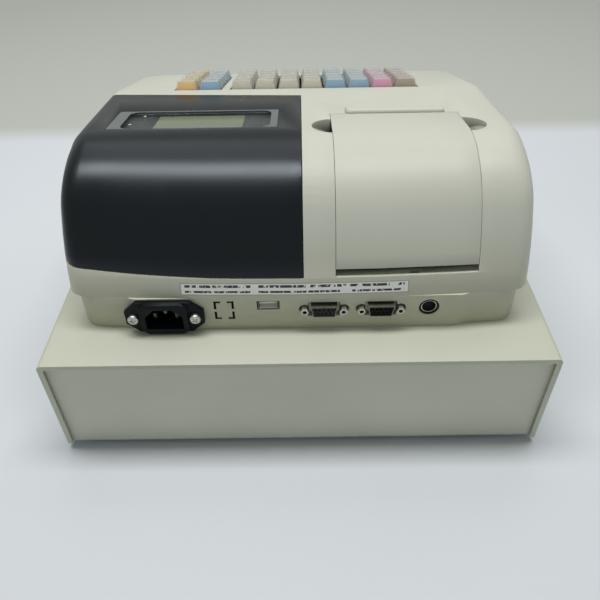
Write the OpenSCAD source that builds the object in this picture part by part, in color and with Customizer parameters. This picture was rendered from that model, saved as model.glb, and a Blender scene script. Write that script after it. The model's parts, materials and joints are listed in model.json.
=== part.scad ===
// Electronic cash register standing on its steel cash drawer.
// The operator sits at -Y, the connectors face +Y, the feet stand on z = 0. Millimetres.

/* [Drawer housing] */
// Width of the drawer housing
drawer_w = 330; // [320:1:380]
// Depth of the drawer housing with the front panel
drawer_d = 360; // [350:1:420]
// Height of the drawer housing above its feet
drawer_h = 80.4; // [78:0.2:110]
// Sheet steel thickness
steel_t = 1.2; // [0.8:0.1:1.6]
// Outer corner radius of the folded housing
fold_r = 3.5; // [2:0.5:6]
// Width of the rim around the rear panel
rim_w = 3.6; // [2.5:0.1:6]
// Depth of the rear panel behind the rim's face
rear_recess = 2.5; // [1.8:0.1:4]
// Height of the side walls of the base pan
pan_wall_h = 42; // [40:1:50]
// Height of the rubber feet
foot_h = 4; // [2:0.5:10]
// Diameter of the rubber feet
foot_d = 18; // [10:1:26]
// Distance of the feet from the housing's edges
foot_inset = 24; // [14:1:40]

/* [Sliding drawer] */
// Thickness of the front panel
front_t = 17; // [14:1:24]
// Wall thickness of the front panel
front_wall = 3; // [2:0.5:5]
// Gap between the front panel and the housing
front_gap = 0.6; // [0.4:0.1:1.5]
// Space between the front panel and the tray, for the lock cam
lock_space = 13; // [11:1:20]
// Space behind the tray, for the latch
latch_space = 52; // [50:1:60]
// Height of the tray's floor above the base
tray_lift = 6.8; // [6:0.2:8]
// Height of the tray's steel walls
tray_wall_h = 34; // [33:1:40]
// Wall thickness of the till insert
till_wall = 2.2; // [1.6:0.2:3]
// Height of the till insert
till_h = 46; // [40:1:50]
// Length of a coin cup
coin_l = 50; // [35:1:60]
// Radius of the scooped ends of a coin cup
coin_r = 22; // [14:1:24]
// Height of the scooped ends of a coin cup
coin_scoop_h = 13; // [6:1:20]

/* [Rails and rollers] */
// Diameter of the nylon rollers
roller_d = 12; // [10:0.5:12]
// Width of the nylon rollers
roller_w = 6; // [4:0.5:6.5]
// Diameter of the roller studs
stud_d = 4; // [3:0.5:5]
// Height of the rails above the base's underside
rail_lift = 22; // [20:0.5:23]
// Depth of the rails' channel
rail_depth = 9.6; // [9:0.2:11]
// Running gap between a roller and its track
roll_gap = 0.3; // [0.2:0.05:0.6]

/* [Bill clips] */
// Diameter of the clip rod
clip_rod_d = 4; // [3:0.5:5]
// Length of a clip's arm
clip_l = 88; // [60:1:100]
// Width of a clip's arm
clip_w = 26; // [14:1:40]
// Height of the clip rod above the tray
clip_rise = 51; // [48:1:54]

/* [Lock and latch] */
// Diameter of the lock's barrel
lock_d = 16; // [14:0.5:19]
// Diameter of the lock's key plug
plug_d = 10; // [7:0.5:11]
// Height of the lock above the base's underside
lock_rise = 38; // [36:0.5:42]
// Length of the lock's cam
cam_l = 35; // [32.5:0.5:35.5]
// Swing of the latch lever
latch_swing = 12; // [10:0.5:13]
// Distance from the latch pivot to the solenoid's pin
latch_arm = 28; // [26:0.5:30]
// Thickness of the latch lever
latch_t = 3; // [2:0.5:4]
// Diameter of the solenoid's plunger
plunger_d = 8; // [5:0.5:9]
// Outer radius of the kick spring
spring_r = 8; // [5:0.5:10]
// Wire diameter of the kick spring
spring_wire = 1.4; // [1:0.1:2]

/* [Register case] */
// Width of the upper case
case_w = 296; // [280:1:310]
// Width of the lower case
base_w = 287; // [272:1:296]
// Distance of the case from the drawer's rear edge
case_gap = 31; // [20:1:34]
// Depth of the case
case_d = 325; // [322:1:326]
// Height of the lower case
seam_h = 26.6; // [24:0.2:30]
// Wall thickness of the plastic shells
shell_t = 2.4; // [2:0.1:3]
// How far the rear wall falls back at its ends
rear_bow = 5; // [0:0.5:7]
// Distance from the rear to the ridge behind the keys
ridge_u = 195; // [190:1:200]
// Radius of the rear slope
slope_r = 132.2; // [128:0.2:136]
// Radius of the crest
crest_r = 64; // [60:0.5:68]
// Lean of the rear wall at the seam
lean_seam = 13.4; // [12:0.1:15]
// Lean where the rear slope meets the crest
lean_crest = 36.8; // [34:0.1:39]
// Slope of the top in front of the crest
top_tilt = 10; // [8:0.5:12]
// Slope of the key deck
deck_tilt = 16; // [13:0.5:17]
// Radius of the upright rear corners
rear_fillet = 11; // [6:0.5:14]
// Radius of the crest's side edges
crest_fillet = 14.5; // [8:0.5:18]
// Radius of the deck's side edges
deck_fillet = 4; // [2:0.5:7]
// Radius of the upright front corners
front_fillet = 26; // [12:1:34]
// Radius of the front lip
lip_r = 8; // [4:0.5:10]

/* [Display] */
// Offset of the display cover's inner edge from the middle
display_x = -3.5; // [-6:0.5:0]
// Distance from the case's rear to the display cover's front edge
display_u = 173; // [168:1:180]
// How much further forward that edge lies at the case's side
display_slant = 12; // [0:0.5:14]
// Height of the display cover's lower edge above the drawer
display_low = 40; // [36:0.2:46]
// Rise of that edge towards the case's side
display_rise = 6; // [2:0.2:10]
// Width of the window recess
window_w = 114.4; // [100:0.2:116]
// Depth of the window recess, front to rear
window_d = 43.6; // [42:0.2:48]
// Distance from the cover's inner edge to the window recess
window_inset = 15.8; // [10:0.2:18]
// Width of the window's flange
window_flange = 3; // [2:0.5:4]
// Thickness of the window
window_t = 1.8; // [1.2:0.2:2.4]
// Width of the liquid crystal panel
lcd_w = 61; // [50:1:76]

/* [Printer cover] */
// Width of the printer cover
pcover_w = 89; // [84:0.5:92]
// Offset of the printer cover's inner edge from the middle
pcover_x = -23.8; // [-26:0.2:-20]
// Distance from the case's rear to the cover's front edge
pcover_u = 118.8; // [114:0.2:119]
// Height of the cover's lower edge above the drawer
pcover_low = 44.8; // [43:0.2:48]
// Height of the shelf below the cover above the drawer
shelf_h = 40.1; // [38:0.1:41]
// Diameter of the cover's hinge pins
hinge_d = 3; // [2:0.5:3.5]
// Gap around the printer cover
cover_gap = 0.3; // [0.2:0.05:0.8]
// Width of a finger recess
finger_w = 13.4; // [10:0.2:15]
// Length of a finger recess
finger_l = 29; // [20:1:32]
// Depth of a finger recess at the cover
finger_depth = 10; // [7:0.5:12]

/* [Printer] */
// Diameter of the paper roll
roll_d = 52; // [30:1:56]
// Width of the paper roll
paper_w = 57; // [40:0.5:58]
// Diameter of the platen roller
platen_d = 11; // [8:0.5:12]
// Diameter of the platen's shaft
shaft_d = 4; // [3:0.5:5]
// Gear module
gear_m = 0.8; // [0.8:0.01:0.81]
// Teeth of the platen gear
gear_teeth = 30; // [30:1:32]
// Teeth of the motor pinion
pinion_teeth = 14; // [12:1:14]
// Diameter of the stepper motor
motor_d = 20; // [16:1:21]
// Width of the paper exit
exit_w = 69.5; // [66:0.5:74]
// Depth of the paper exit
exit_d = 17; // [16.5:0.1:18]

/* [Connectors] */
// Spacing of the serial ports' jack screws
jack_pitch = 25; // [24.8:0.1:25.4]
// Bore radius of the jack screws
jack_r = 1.4; // [1.1:0.1:1.6]
// Spacing of the power inlet's screws
inlet_pitch = 40; // [39:0.5:41]
// Diameter of the drawer socket
din_d = 12.7; // [10:0.1:13.5]
// Height of the circuit board above the drawer
board_rise = 10; // [8.5:0.5:10]

/* [Keyboard] */
// Distance of the outer key block's edge from the middle
key_left = 98.6; // [96:0.2:100]
// Distance of the inner key block's edge from the middle
key_right = 60.8; // [60:0.2:64]
// Distance of the keys from the ridge
key_edge = 1.5; // [1.5:0.1:2.5]
// Spacing of the keys
key_pitch = 19.05; // [18:0.05:19.1]
// Width of a key at its foot
key_foot = 17.5; // [15:0.1:17.6]
// Width of a key at its top
key_top = 14; // [10:0.1:15]
// Height of a key above the deck
key_h = 7.2; // [5:0.1:10]
// Rows of keys
key_rows = 5; // [3:1:6]
// Key travel
key_travel = 3.5; // [1.5:0.1:3.8]

/* [Hidden] */
$fn = 48;
eps = 0.01;
flat_fit = 0.3;
run_fit = 0.05;

ivory = [0.80, 0.81, 0.76];
beige_steel = [0.78, 0.79, 0.71];
panel_grey = [0.57, 0.60, 0.54];
charcoal = [0.16, 0.17, 0.17];
zinc = [0.72, 0.73, 0.74];
steel = [0.62, 0.63, 0.64];
rubber_black = [0.09, 0.09, 0.09];
till_grey = [0.30, 0.31, 0.32];
nylon = [0.92, 0.92, 0.90];
copper = [0.72, 0.45, 0.25];
board_green = [0.10, 0.36, 0.22];
dark_plastic = [0.12, 0.12, 0.13];
clear_window = [0.75, 0.8, 0.82, 0.4];
lcd_green = [0.59, 0.63, 0.47];
lever_green = [0.2, 0.55, 0.35];
paper_white = [0.96, 0.96, 0.94];
key_colours = ["#a0835f", "#e08cb4", "#6ea8cc", "#6ea8cc", "#c9c1b0", "#c9c1b0", "#c9c1b0", "#c9c1b0",
               "#6ea8cc", "#e6ae55"];

// ---- Drawer: derived places ----
half_w = drawer_w / 2;
rear_y = drawer_d / 2;
front_y = -drawer_d / 2;
top_z = foot_h + drawer_h;
floor_z = foot_h + steel_t;
mouth_y = front_y + front_t + front_gap;
rear_panel_y = rear_y - rear_recess;
pan_x = half_w - steel_t;

rail_web_x = pan_x - steel_t;
rail_lip_x = rail_web_x - rail_depth;
rail_z = foot_h + rail_lift;
roller_r = roller_d / 2;
roller_z = rail_z + steel_t + roll_gap + roller_r;
roller_x = rail_web_x - steel_t - 1.8 - roller_w;
runner_z = roller_z + roller_r + roll_gap;
rail_top = runner_z + 2 * steel_t + 0.4;
rail_front_y = mouth_y + 8;
rail_rear_y = rear_panel_y - steel_t - 34;
rail_roller_y = rail_front_y + 10;

tray_x = rail_lip_x - 4.6;
tray_z = floor_z + tray_lift;
tray_front_y = front_y + front_t + lock_space;
tray_rear_y = rear_y - latch_space;
tray_top = tray_z + tray_wall_h;
tray_roller_y = tray_rear_y - 13;
runner_x = rail_web_x - steel_t - 2.2;

till_x = tray_x - steel_t - 0.4;
till_front_y = tray_front_y + steel_t + 0.4;
till_rear_y = tray_rear_y - steel_t - 0.4;
till_z = tray_z + steel_t;
till_top = till_z + till_h;
till_floor = till_z + till_wall;
bays = 4;
coin_rows = 2;
bay_w = (2 * till_x - (bays + 1) * till_wall) / bays;
function bay_x(i) = -till_x + till_wall + i * (bay_w + till_wall) + bay_w / 2;

clip_y = till_rear_y - till_wall - 7;
clip_z = till_z + clip_rise;
clip_r = clip_rod_d / 2;
paddle_r = 3;
clip_drop = asin((clip_z - till_floor - flat_fit - paddle_r) / clip_l);

lock_z = foot_h + lock_rise;
cam_y = front_y + front_t + 5;
strike_tab_y = cam_y - 1 - steel_t;
strike_tab_h = tray_lift - 1;

latch_x = 22;
latch_y = rear_panel_y - steel_t - 12.3;
latch_z = foot_h + 24;
strike_x = latch_x - 10;
strike_y = tray_rear_y + 10;
hook_reach = latch_y - strike_y + 3.5;
coil_x = latch_x - latch_arm;
coil_y = [latch_y - 32, latch_y - 8];
plunger_r = plunger_d / 2;
plunger_z = latch_z + latch_t / 2;
spring_x = -60;
spring_z = foot_h + 26;
spring_y = [tray_rear_y + flat_fit + spring_wire / 2, rear_panel_y - steel_t - spring_wire / 2];
spring_turns = 8;

// ---- Case: u runs forward from the rear wall, h runs up from the drawer's top ----
case_half = case_w / 2;
base_half = base_w / 2;
case_y = rear_y - case_gap;
front_u = case_d;
lip_u = case_d - 6;
function cy(u) = case_y - u;
function cz(h) = top_z + h;
start_u = -0.3;
slope_c = [start_u + slope_r * cos(lean_seam), seam_h - slope_r * sin(lean_seam)];
slope_end = slope_c + slope_r * [-cos(lean_crest), sin(lean_crest)];
crest_c = slope_end + crest_r * [cos(lean_crest), -sin(lean_crest)];
lean_top = 90 + top_tilt;
crest_end = crest_c + crest_r * [-cos(lean_top), sin(lean_top)];
ridge_h = crest_end[1] - (ridge_u - crest_end[0]) * tan(top_tilt);
lip_h = ridge_h - (lip_u - ridge_u) * tan(deck_tilt);
shoulder_u = crest_end[0] + 20;

function top_h(u) = crest_end[1] - (u - crest_end[0]) * tan(top_tilt);
function bow(x) = rear_bow * pow(x / 130, 2);
function edge_drop(x, half, r) = abs(x) <= half - r ? 0 : r - sqrt(max(0, r * r - pow(abs(x) - half + r, 2)));
function side_fillet(lean) = lookup(lean, [
    [45, rear_fillet], [72, crest_fillet], [88, crest_fillet], [100, (2 * crest_fillet + deck_fillet) / 3]]);

// One point of the arched rear at a given lean, for the section at x, inset by w
function arch_point(c, r, lean, x, w) =
    let (d = edge_drop(x, case_half, side_fillet(lean)) + w)
    [c[0] - (r - d) * cos(lean) + bow(x) * max(0, cos(lean)), c[1] + (r - d) * sin(lean)];

// Height of the rear slope at u, for the section at x
function slope_h(u, x) = slope_c[1] + sqrt(pow(slope_r, 2) - pow(slope_c[0] + bow(x) - u, 2));

// Section of the upper case at x, inset by w, with n points round the crest
function section(x, w, n) =
    let (dd = edge_drop(x, case_half, deck_fillet) + w, df = edge_drop(x, case_half, front_fillet) + w,
         ds = edge_drop(x, case_half, (crest_fillet + deck_fillet) / 2) + w,
         first = asin((seam_h - slope_c[1]) / (slope_r - edge_drop(x, case_half, rear_fillet) - w)),
         m = round(n / 3), lip_drop = (df + lip_r) * tan(deck_tilt) - lip_r / cos(deck_tilt),
         lip = [lip_u - df - lip_r, lip_h - dd + lip_drop])
    concat(
        [for (i = [0 : m - 1]) arch_point(slope_c, slope_r, first + (lean_crest - first) * i / m, x, w)],
        [for (i = [0 : n]) arch_point(crest_c, crest_r, lean_crest + (lean_top - lean_crest) * i / n, x, w)],
        [[shoulder_u, top_h(shoulder_u) - ds], [ridge_u, ridge_h - dd]],
        [for (i = [0 : 4]) let (a = deck_tilt + (80 - deck_tilt) * i / 4) lip + lip_r * [sin(a), cos(a)]],
        [[front_u - df, seam_h]]);

// Sections along x joined to one open shell of triangles
module case_shell() {
    half = case_half - crest_fillet;
    right = concat([0, 0.4 * half, 0.75 * half, 0.92 * half],
                   [for (i = [0 : 6]) half + crest_fillet * sin(15 * i)]);
    xs = concat([for (i = [len(right) - 1 : -1 : 1]) -right[i]], right);
    k = len(xs);
    inner_scale = (case_half - shell_t) / case_half;
    outer = [for (x = xs) section(x, 0, 12)];
    inner = [for (x = xs) section(x, shell_t, 12)];
    m = len(outer[0]);
    points = concat([for (i = [0 : k - 1]) for (p = outer[i]) [xs[i], cy(p[0]), cz(p[1])]],
                    [for (i = [0 : k - 1]) for (p = inner[i]) [xs[i] * inner_scale, cy(p[0]), cz(p[1])]]);
    skin = [for (i = [0 : k - 2]) for (j = [0 : m - 2])
        let (a = i * m + j, b = a + 1, c = a + m, d = b + m)
        each [[a, d, b], [a, c, d]]];
    caps = [[for (j = [0 : m - 1]) j], [for (j = [m - 1 : -1 : 0]) (k - 1) * m + j]];
    rim = concat([for (i = [0 : k - 1]) i * m], [for (i = [k - 1 : -1 : 0]) i * m + m - 1]);
    rim_faces = [for (q = [0 : len(rim) - 1])
        let (a = rim[q], b = rim[(q + 1) % len(rim)])
        each [[b, a, a + k * m], [b, a + k * m, b + k * m]]];
    lining = [for (f = concat(skin, caps)) [for (j = [len(f) - 1 : -1 : 0]) f[j] + k * m]];
    polyhedron(points = points, faces = concat(skin, caps, lining, rim_faces), convexity = 8);
}

// ---- Helpers ----
module slab(x, y, z) translate([x[0], y[0], z[0]]) cube([x[1] - x[0], y[1] - y[0], z[1] - z[0]]);
module rod_x(x, y, z, r) translate([x[0], y, z]) rotate([0, 90, 0]) cylinder(r = r, h = x[1] - x[0]);
module rod_y(x, y, z, r) translate([x, y[0], z]) rotate([-90, 0, 0]) cylinder(r = r, h = y[1] - y[0]);
module rod_z(x, y, z, r) translate([x, y, z[0]]) cylinder(r = r, h = z[1] - z[0]);
module both_sides() {
    children();
    mirror([1, 0, 0]) children();
}

// ---- Drawer housing ----
module cover_outline(d) {
    r = fold_r - d / 2;
    translate([-half_w + d, 0]) square([drawer_w - 2 * d, drawer_h - d - r]);
    translate([-half_w + d + r, 0]) square([drawer_w - 2 * (d + r), drawer_h - d]);
    for (s = [-1, 1]) translate([s * (half_w - d - r), drawer_h - d - r]) circle(r = r);
}
module sleeve(y, outer, inner) translate([0, y[1], foot_h]) rotate([90, 0, 0]) difference() {
    linear_extrude(y[1] - y[0]) cover_outline(outer);
    translate([0, -eps, -eps]) linear_extrude(y[1] - y[0] + 2 * eps) cover_outline(inner);
}
module drawer_cover() color(beige_steel) {
    sleeve([mouth_y, rear_y], 0, steel_t);
    sleeve([rear_y - steel_t, rear_y], steel_t, rim_w);
}

module drawer_base() color(zinc) {
    slab([-pan_x, pan_x], [mouth_y, rear_panel_y], [foot_h, floor_z]);
    both_sides() slab([pan_x - steel_t, pan_x], [mouth_y, rear_panel_y - steel_t - flat_fit],
                      [floor_z, foot_h + pan_wall_h]);
    slab([-6, 6], [strike_tab_y, strike_tab_y + steel_t], [floor_z, floor_z + strike_tab_h]);
}

module drawer_rear_panel() color(panel_grey)
    slab([-pan_x + 0.6, pan_x - 0.6], [rear_panel_y - steel_t, rear_panel_y],
         [floor_z, top_z - steel_t - 0.4]);

module rubber_feet() color(rubber_black)
    for (sx = [-1, 1], sy = [-1, 1])
        translate([sx * (half_w - foot_inset), sy * (rear_y - foot_inset), 0])
            cylinder(d = foot_d, h = foot_h);

// ---- Rails and rollers ----
module guide_rails() color(steel) both_sides() {
    slab([rail_web_x - steel_t, rail_web_x], [rail_front_y, rail_rear_y], [rail_z, rail_top]);
    slab([rail_lip_x, rail_web_x], [rail_front_y, rail_rear_y], [rail_z, rail_z + steel_t]);
    slab([rail_web_x - 6, rail_web_x], [rail_front_y, rail_rear_y], [rail_top - steel_t, rail_top]);
    rod_x([roller_x - 1.2, rail_web_x], rail_roller_y, roller_z, stud_d / 2);
    rod_x([roller_x - 1.4, roller_x - 0.3], rail_roller_y, roller_z, stud_d / 2 + 1.2);
}
module roller_pair(y) color(nylon) both_sides() difference() {
    rod_x([roller_x, roller_x + roller_w], y, roller_z, roller_r);
    rod_x([roller_x - 1, roller_x + roller_w + 1], y, roller_z, stud_d / 2 + run_fit);
}
module rail_rollers() roller_pair(rail_roller_y);
module tray_rollers() roller_pair(tray_roller_y);

// ---- Sliding drawer ----
module drawer_tray() color(zinc) {
    slab([-tray_x, tray_x], [tray_front_y, tray_rear_y], [tray_z, tray_z + steel_t]);
    for (y = [tray_front_y, tray_rear_y - steel_t])
        slab([-tray_x, tray_x], [y, y + steel_t], [tray_z, tray_top]);
    both_sides() {
        slab([tray_x - steel_t, tray_x], [front_y + front_t, tray_rear_y], [tray_z, tray_top]);
        slab([tray_x, runner_x], [tray_front_y, tray_rear_y], [runner_z, runner_z + steel_t]);
        rod_x([tray_x - steel_t, roller_x + roller_w + 0.3], tray_roller_y, roller_z, stud_d / 2);
        rod_x([roller_x + roller_w + 0.3, roller_x + roller_w + 1.3], tray_roller_y, roller_z,
              stud_d / 2 + 1.2);
    }
    for (z = [latch_z - 5.2, latch_z + latch_t + 4])
        slab([strike_x - 4, strike_x + 4], [tray_rear_y, strike_y + 4], [z, z + steel_t]);
    rod_z(strike_x, strike_y, [latch_z - 5, latch_z + latch_t + 5], 2);
}

module drawer_front() color(beige_steel) difference() {
    front_x = half_w - 0.8;
    front_z = [foot_h + 1.6, top_z - 0.6];
    translate([-front_x, 0, 0]) rotate([90, 0, 90]) linear_extrude(2 * front_x) polygon([
        [front_y + front_t, front_z[0]], [front_y + front_t, front_z[1]], [front_y + 2, front_z[1]],
        [front_y, front_z[1] - 2], [front_y, front_z[0] + 2], [front_y + 2, front_z[0]]]);
    for (s = [-1, 1]) mirror([s < 0 ? 1 : 0, 0, 0])
        slab([lock_d / 2 + 6, tray_x - 6], [front_y + front_wall, front_y + front_t + 1],
             [front_z[0] + front_wall, front_z[1] - front_wall]);
    rod_y(0, [front_y - 1, front_y + front_t + 1], lock_z, lock_d / 2 + run_fit);
    rod_y(0, [front_y - 1, front_y + 2], lock_z, lock_d / 2 + 2 + run_fit);
}

module till_insert() color(till_grey) difference() {
    union() {
        slab([-till_x, till_x], [till_front_y, till_rear_y], [till_z, till_floor]);
        for (y = [till_front_y, till_rear_y - till_wall])
            slab([-till_x, till_x], [y, y + till_wall], [till_z, till_top]);
        for (r = [1 : coin_rows])
            slab([-till_x, till_x], [till_front_y + r * (coin_l + till_wall),
                 till_front_y + r * (coin_l + till_wall) + till_wall], [till_z, till_top - 2]);
        for (i = [0 : bays]) {
            x = -till_x + i * (bay_w + till_wall);
            slab([x, x + till_wall], [till_front_y, till_rear_y], [till_z, till_top - (i % bays == 0 ? 0 : 2)]);
            slab([x, x + till_wall], [clip_y - 5, clip_y + 5], [till_z, clip_z + 5]);
        }
        for (r = [0 : coin_rows - 1]) coin_scoops(till_front_y + till_wall + r * (coin_l + till_wall));
    }
    rod_x([-till_x - 1, till_x + 1], clip_y, clip_z, clip_r + run_fit);
}
module coin_scoops(y) difference() {
    slab([-till_x + eps, till_x - eps], [y, y + coin_l], [till_z, till_floor + coin_scoop_h]);
    for (i = [0 : bays - 1]) {
        x = [bay_x(i) - bay_w / 2, bay_x(i) + bay_w / 2];
        rod_x(x, y + coin_r, till_floor + coin_r, coin_r);
        rod_x(x, y + coin_l - coin_r, till_floor + coin_r, coin_r);
        slab(x, [y + coin_r, y + coin_l - coin_r], [till_floor, till_floor + coin_r]);
        slab(x, [y, y + coin_l], [till_floor + coin_r, till_floor + coin_r + coin_scoop_h]);
    }
}

module clip_rod() color(steel) rod_x([-till_x, till_x], clip_y, clip_z, clip_r);

module bill_clip(i) color(dark_plastic) translate([bay_x(i), clip_y, clip_z]) difference() {
    union() {
        rod_x([-clip_w / 2, clip_w / 2], 0, 0, clip_r + 2.4);
        rotate([clip_drop, 0, 0]) {
            slab([-clip_w / 2, clip_w / 2], [-clip_l, -clip_r - 1], [-1, 1.2]);
            rod_x([-clip_w / 2 - 5, clip_w / 2 + 5], -clip_l, 0, paddle_r);
        }
    }
    rod_x([-clip_w / 2 - 1, clip_w / 2 + 1], 0, 0, clip_r + run_fit);
}

// ---- Lock ----
module lock_body() color(zinc) difference() {
    union() {
        rod_y(0, [front_y, cam_y - 0.6], lock_z, lock_d / 2);
        rod_y(0, [front_y, front_y + 2], lock_z, lock_d / 2 + 2);
    }
    rod_y(0, [front_y - 1, cam_y], lock_z, plug_d / 2 + run_fit);
}
module lock_cam() color(steel) difference() {
    union() {
        rod_y(0, [front_y, cam_y + 1.6], lock_z, plug_d / 2);
        slab([0, cam_l], [cam_y, cam_y + 1.6], [lock_z - 5, lock_z + 5]);
    }
    slab([-3, 3], [front_y - 1, front_y + 8], [lock_z - 0.6, lock_z + 0.6]);
}

// ---- Solenoid latch ----
module solenoid() {
    color(zinc) {
        slab([coil_x - 12, latch_x + 8], [coil_y[0], latch_y + 6], [floor_z, floor_z + 1.6]);
        for (y = [coil_y[0], coil_y[1] - 1.6]) difference() {
            slab([coil_x - 12, coil_x + 12], [y, y + 1.6], [floor_z, plunger_z + 12]);
            rod_y(coil_x, [y - 1, y + 3], plunger_z, plunger_r + run_fit);
        }
        rod_z(latch_x, latch_y, [floor_z, latch_z - flat_fit], 4);
        rod_z(latch_x, latch_y, [floor_z, latch_z + latch_t + 2], 2.5);
    }
    color(copper) difference() {
        rod_y(coil_x, [coil_y[0] + 1.6, coil_y[1] - 1.6], plunger_z, 10.5);
        rod_y(coil_x, [coil_y[0], coil_y[1]], plunger_z, plunger_r + run_fit);
    }
}
module solenoid_plunger() color(steel) {
    rod_y(coil_x, [coil_y[0] + 8, latch_y - 5], plunger_z, plunger_r);
    difference() {
        slab([coil_x - 3, coil_x + 3], [latch_y - 6, latch_y + 3], [plunger_z - 5, plunger_z + 5]);
        slab([coil_x - 4, coil_x + 4], [latch_y - 4.4, latch_y + 4],
             [latch_z - flat_fit, latch_z + latch_t + flat_fit]);
    }
    rod_z(coil_x, latch_y, [latch_z - 1, latch_z + latch_t + 1], 1.5);
}
module latch_lever() color(zinc) translate([latch_x, latch_y, latch_z]) linear_extrude(latch_t) difference() {
    union() {
        circle(r = 6);
        rotate(latch_swing) polygon([[3, 0], [-3, 0], [-3, -hook_reach], [-13, -hook_reach],
                                     [-13, -hook_reach - 3], [3, -hook_reach - 3]]);
        translate([-latch_arm - 6, -3.8]) square([latch_arm + 6, 7.6]);
    }
    circle(r = 2.5 + run_fit);
    translate([-latch_arm, 0]) square([6.4, 3.6], center = true);
}

// Wire of the kick spring, swept round its turns
module kick_spring() color(steel) {
    per_turn = 12;
    sides = 6;
    steps = spring_turns * per_turn;
    mid_r = spring_r - spring_wire / 2;
    span = spring_y[1] - spring_y[0];
    points = [for (i = [0 : steps]) for (j = [0 : sides - 1])
        let (a = 360 * i / per_turn, b = 360 * j / sides, r = mid_r + spring_wire / 2 * cos(b))
        [spring_x + r * cos(a), spring_y[0] + span * i / steps + spring_wire / 2 * sin(b),
         spring_z + r * sin(a)]];
    walls = [for (i = [0 : steps - 1]) for (j = [0 : sides - 1])
        let (a = i * sides + j, b = i * sides + (j + 1) % sides, c = a + sides, d = b + sides)
        each [[a, d, b], [a, c, d]]];
    caps = [[for (j = [0 : sides - 1]) j], [for (j = [sides - 1 : -1 : 0]) steps * sides + j]];
    polyhedron(points = points, faces = concat(walls, caps), convexity = 10);
}

// ---- Case: places on it ----
lower_r = 12;
panel_u = 1.2;
panel_half = 104;
panel_step = 6;
post_x = case_half - 20;
post_u = [30, case_d - 29];
post_r = 4;
screw_r = 1.5;
rise_x = 25;
hinge_u = 18;
hinge_y = cy(hinge_u);
hinge_z = cz(pcover_low + 9.2);
hinge_r = hinge_d / 2;
pcover_end = pcover_x - pcover_w;
ear_t = 3;
window_x = display_x + window_inset + window_w / 2;
window_u = 111.8;
recess_t = 1.2;
exit_x = pcover_x - pcover_w / 2 - 1.5;
exit_u = pcover_u + cover_gap + exit_d / 2;
finger_u = 91.5;

// Frames that lie on the sloping top and on the key deck
module on_top(x, u) translate([x, cy(u), cz(top_h(u))]) rotate([top_tilt, 0, 0]) children();
module on_deck() translate([0, cy(ridge_u), cz(ridge_h)]) rotate([deck_tilt, 0, 0]) children();

// ---- Lower case ----
function lower_half_outline(w) =
    let (half = base_half - w, r = lower_r - w, rf = front_fillet - 6 - w, fu = front_u - 3 - w)
    concat(
        [[panel_half, panel_u + w], [panel_half + panel_step, bow(panel_half + panel_step) + w]],
        [for (i = [0 : 6]) let (x = half - r + r * sin(15 * i)) [x, bow(x) + w + r * (1 - cos(15 * i))]],
        [for (i = [0 : 6]) [half - rf + rf * cos(15 * i), fu - rf + rf * sin(15 * i)]]);
module lower_outline(w) {
    right = [for (p = lower_half_outline(w)) [p[0], cy(p[1])]];
    polygon(concat(right, [for (i = [len(right) - 1 : -1 : 0]) [-right[i][0], right[i][1]]]));
}
wall_y = [cy(panel_u + shell_t + 1), cy(panel_u - 2)];
inlet_x = 86.2;
inlet_z = cz(13.4);
usb_x = 19.3;
usb_z = cz(20.1);
serial_x = [-16.5, -53];
serial_z = cz(16.3);
port_u = panel_u + shell_t + 0.1;
din_x = -84;
din_z = cz(16.6);
blank_x = [41.3, 54.2];
blank_z = [cz(8.6), cz(23.9)];
board_z = cz(board_rise);
board_t = 1.6;
board_y = [case_y - 100, cy(panel_u + shell_t + 0.6)];
board_x = [-95, 66];
board_neck_y = case_y - 36;
board_screws = [[-88, board_y[1] - 28], [58, board_y[1] - 28], [58, board_y[0] + 8], [-10, board_y[0] + 8]];

module serial_cutout(x) {
    slab([x - 10.2, x + 10.2], wall_y, [serial_z - 5.9, serial_z + 5.9]);
    for (s = [-1, 1]) rod_y(x + s * jack_pitch / 2, wall_y, serial_z, 3.7);
    slab([x - jack_pitch / 2, x + jack_pitch / 2], wall_y, [serial_z - 3.2, serial_z + 3.2]);
}
// Corner slots round the blank of an unused port
module blank_slots() for (i = [0, 1], j = [0, 1]) {
    sx = i * 2 - 1;
    sz = j * 2 - 1;
    x = blank_x[i];
    z = blank_z[j];
    slab([min(x, x - sx * 1.5), max(x, x - sx * 1.5)], wall_y, [min(z, z - sz * 6.6), max(z, z - sz * 6.6)]);
    slab([min(x, x - sx * 4.4), max(x, x - sx * 4.4)], wall_y, [min(z, z - sz * 1.5), max(z, z - sz * 1.5)]);
}
module lower_case() color(ivory) difference() {
    union() {
        difference() {
            translate([0, 0, cz(0)]) linear_extrude(seam_h) lower_outline(0);
            translate([0, 0, cz(shell_t)]) linear_extrude(seam_h) lower_outline(shell_t);
        }
        for (p = board_screws) rod_z(p[0], p[1], [cz(shell_t - 0.5), board_z - board_t], 3.2);
        for (s = [-1, 1], u = post_u) rod_z(s * post_x, cy(u), [cz(shell_t - 0.5), cz(seam_h)], post_r + 1);
    }
    for (p = board_screws) rod_z(p[0], p[1], [cz(shell_t), board_z], screw_r + run_fit);
    for (s = [-1, 1], u = post_u) {
        rod_z(s * post_x, cy(u), [cz(-1), cz(seam_h + 1)], screw_r + run_fit);
        rod_z(s * post_x, cy(u), [cz(-1), cz(seam_h - 6)], 3.6);
    }
    slab([inlet_x - 13.8, inlet_x + 13.8], wall_y, [inlet_z - 9.6, inlet_z + 9.6]);
    for (s = [-1, 1])
        rod_y(inlet_x + s * inlet_pitch / 2, [wall_y[0] - 4, wall_y[1]], inlet_z, screw_r + run_fit);
    slab([usb_x - 7.3, usb_x + 7.3], wall_y, [usb_z - 3.7, usb_z + 3.7]);
    for (x = serial_x) serial_cutout(x);
    rod_y(din_x, wall_y, din_z, din_d / 2 + 0.2);
    blank_slots();
}

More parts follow.
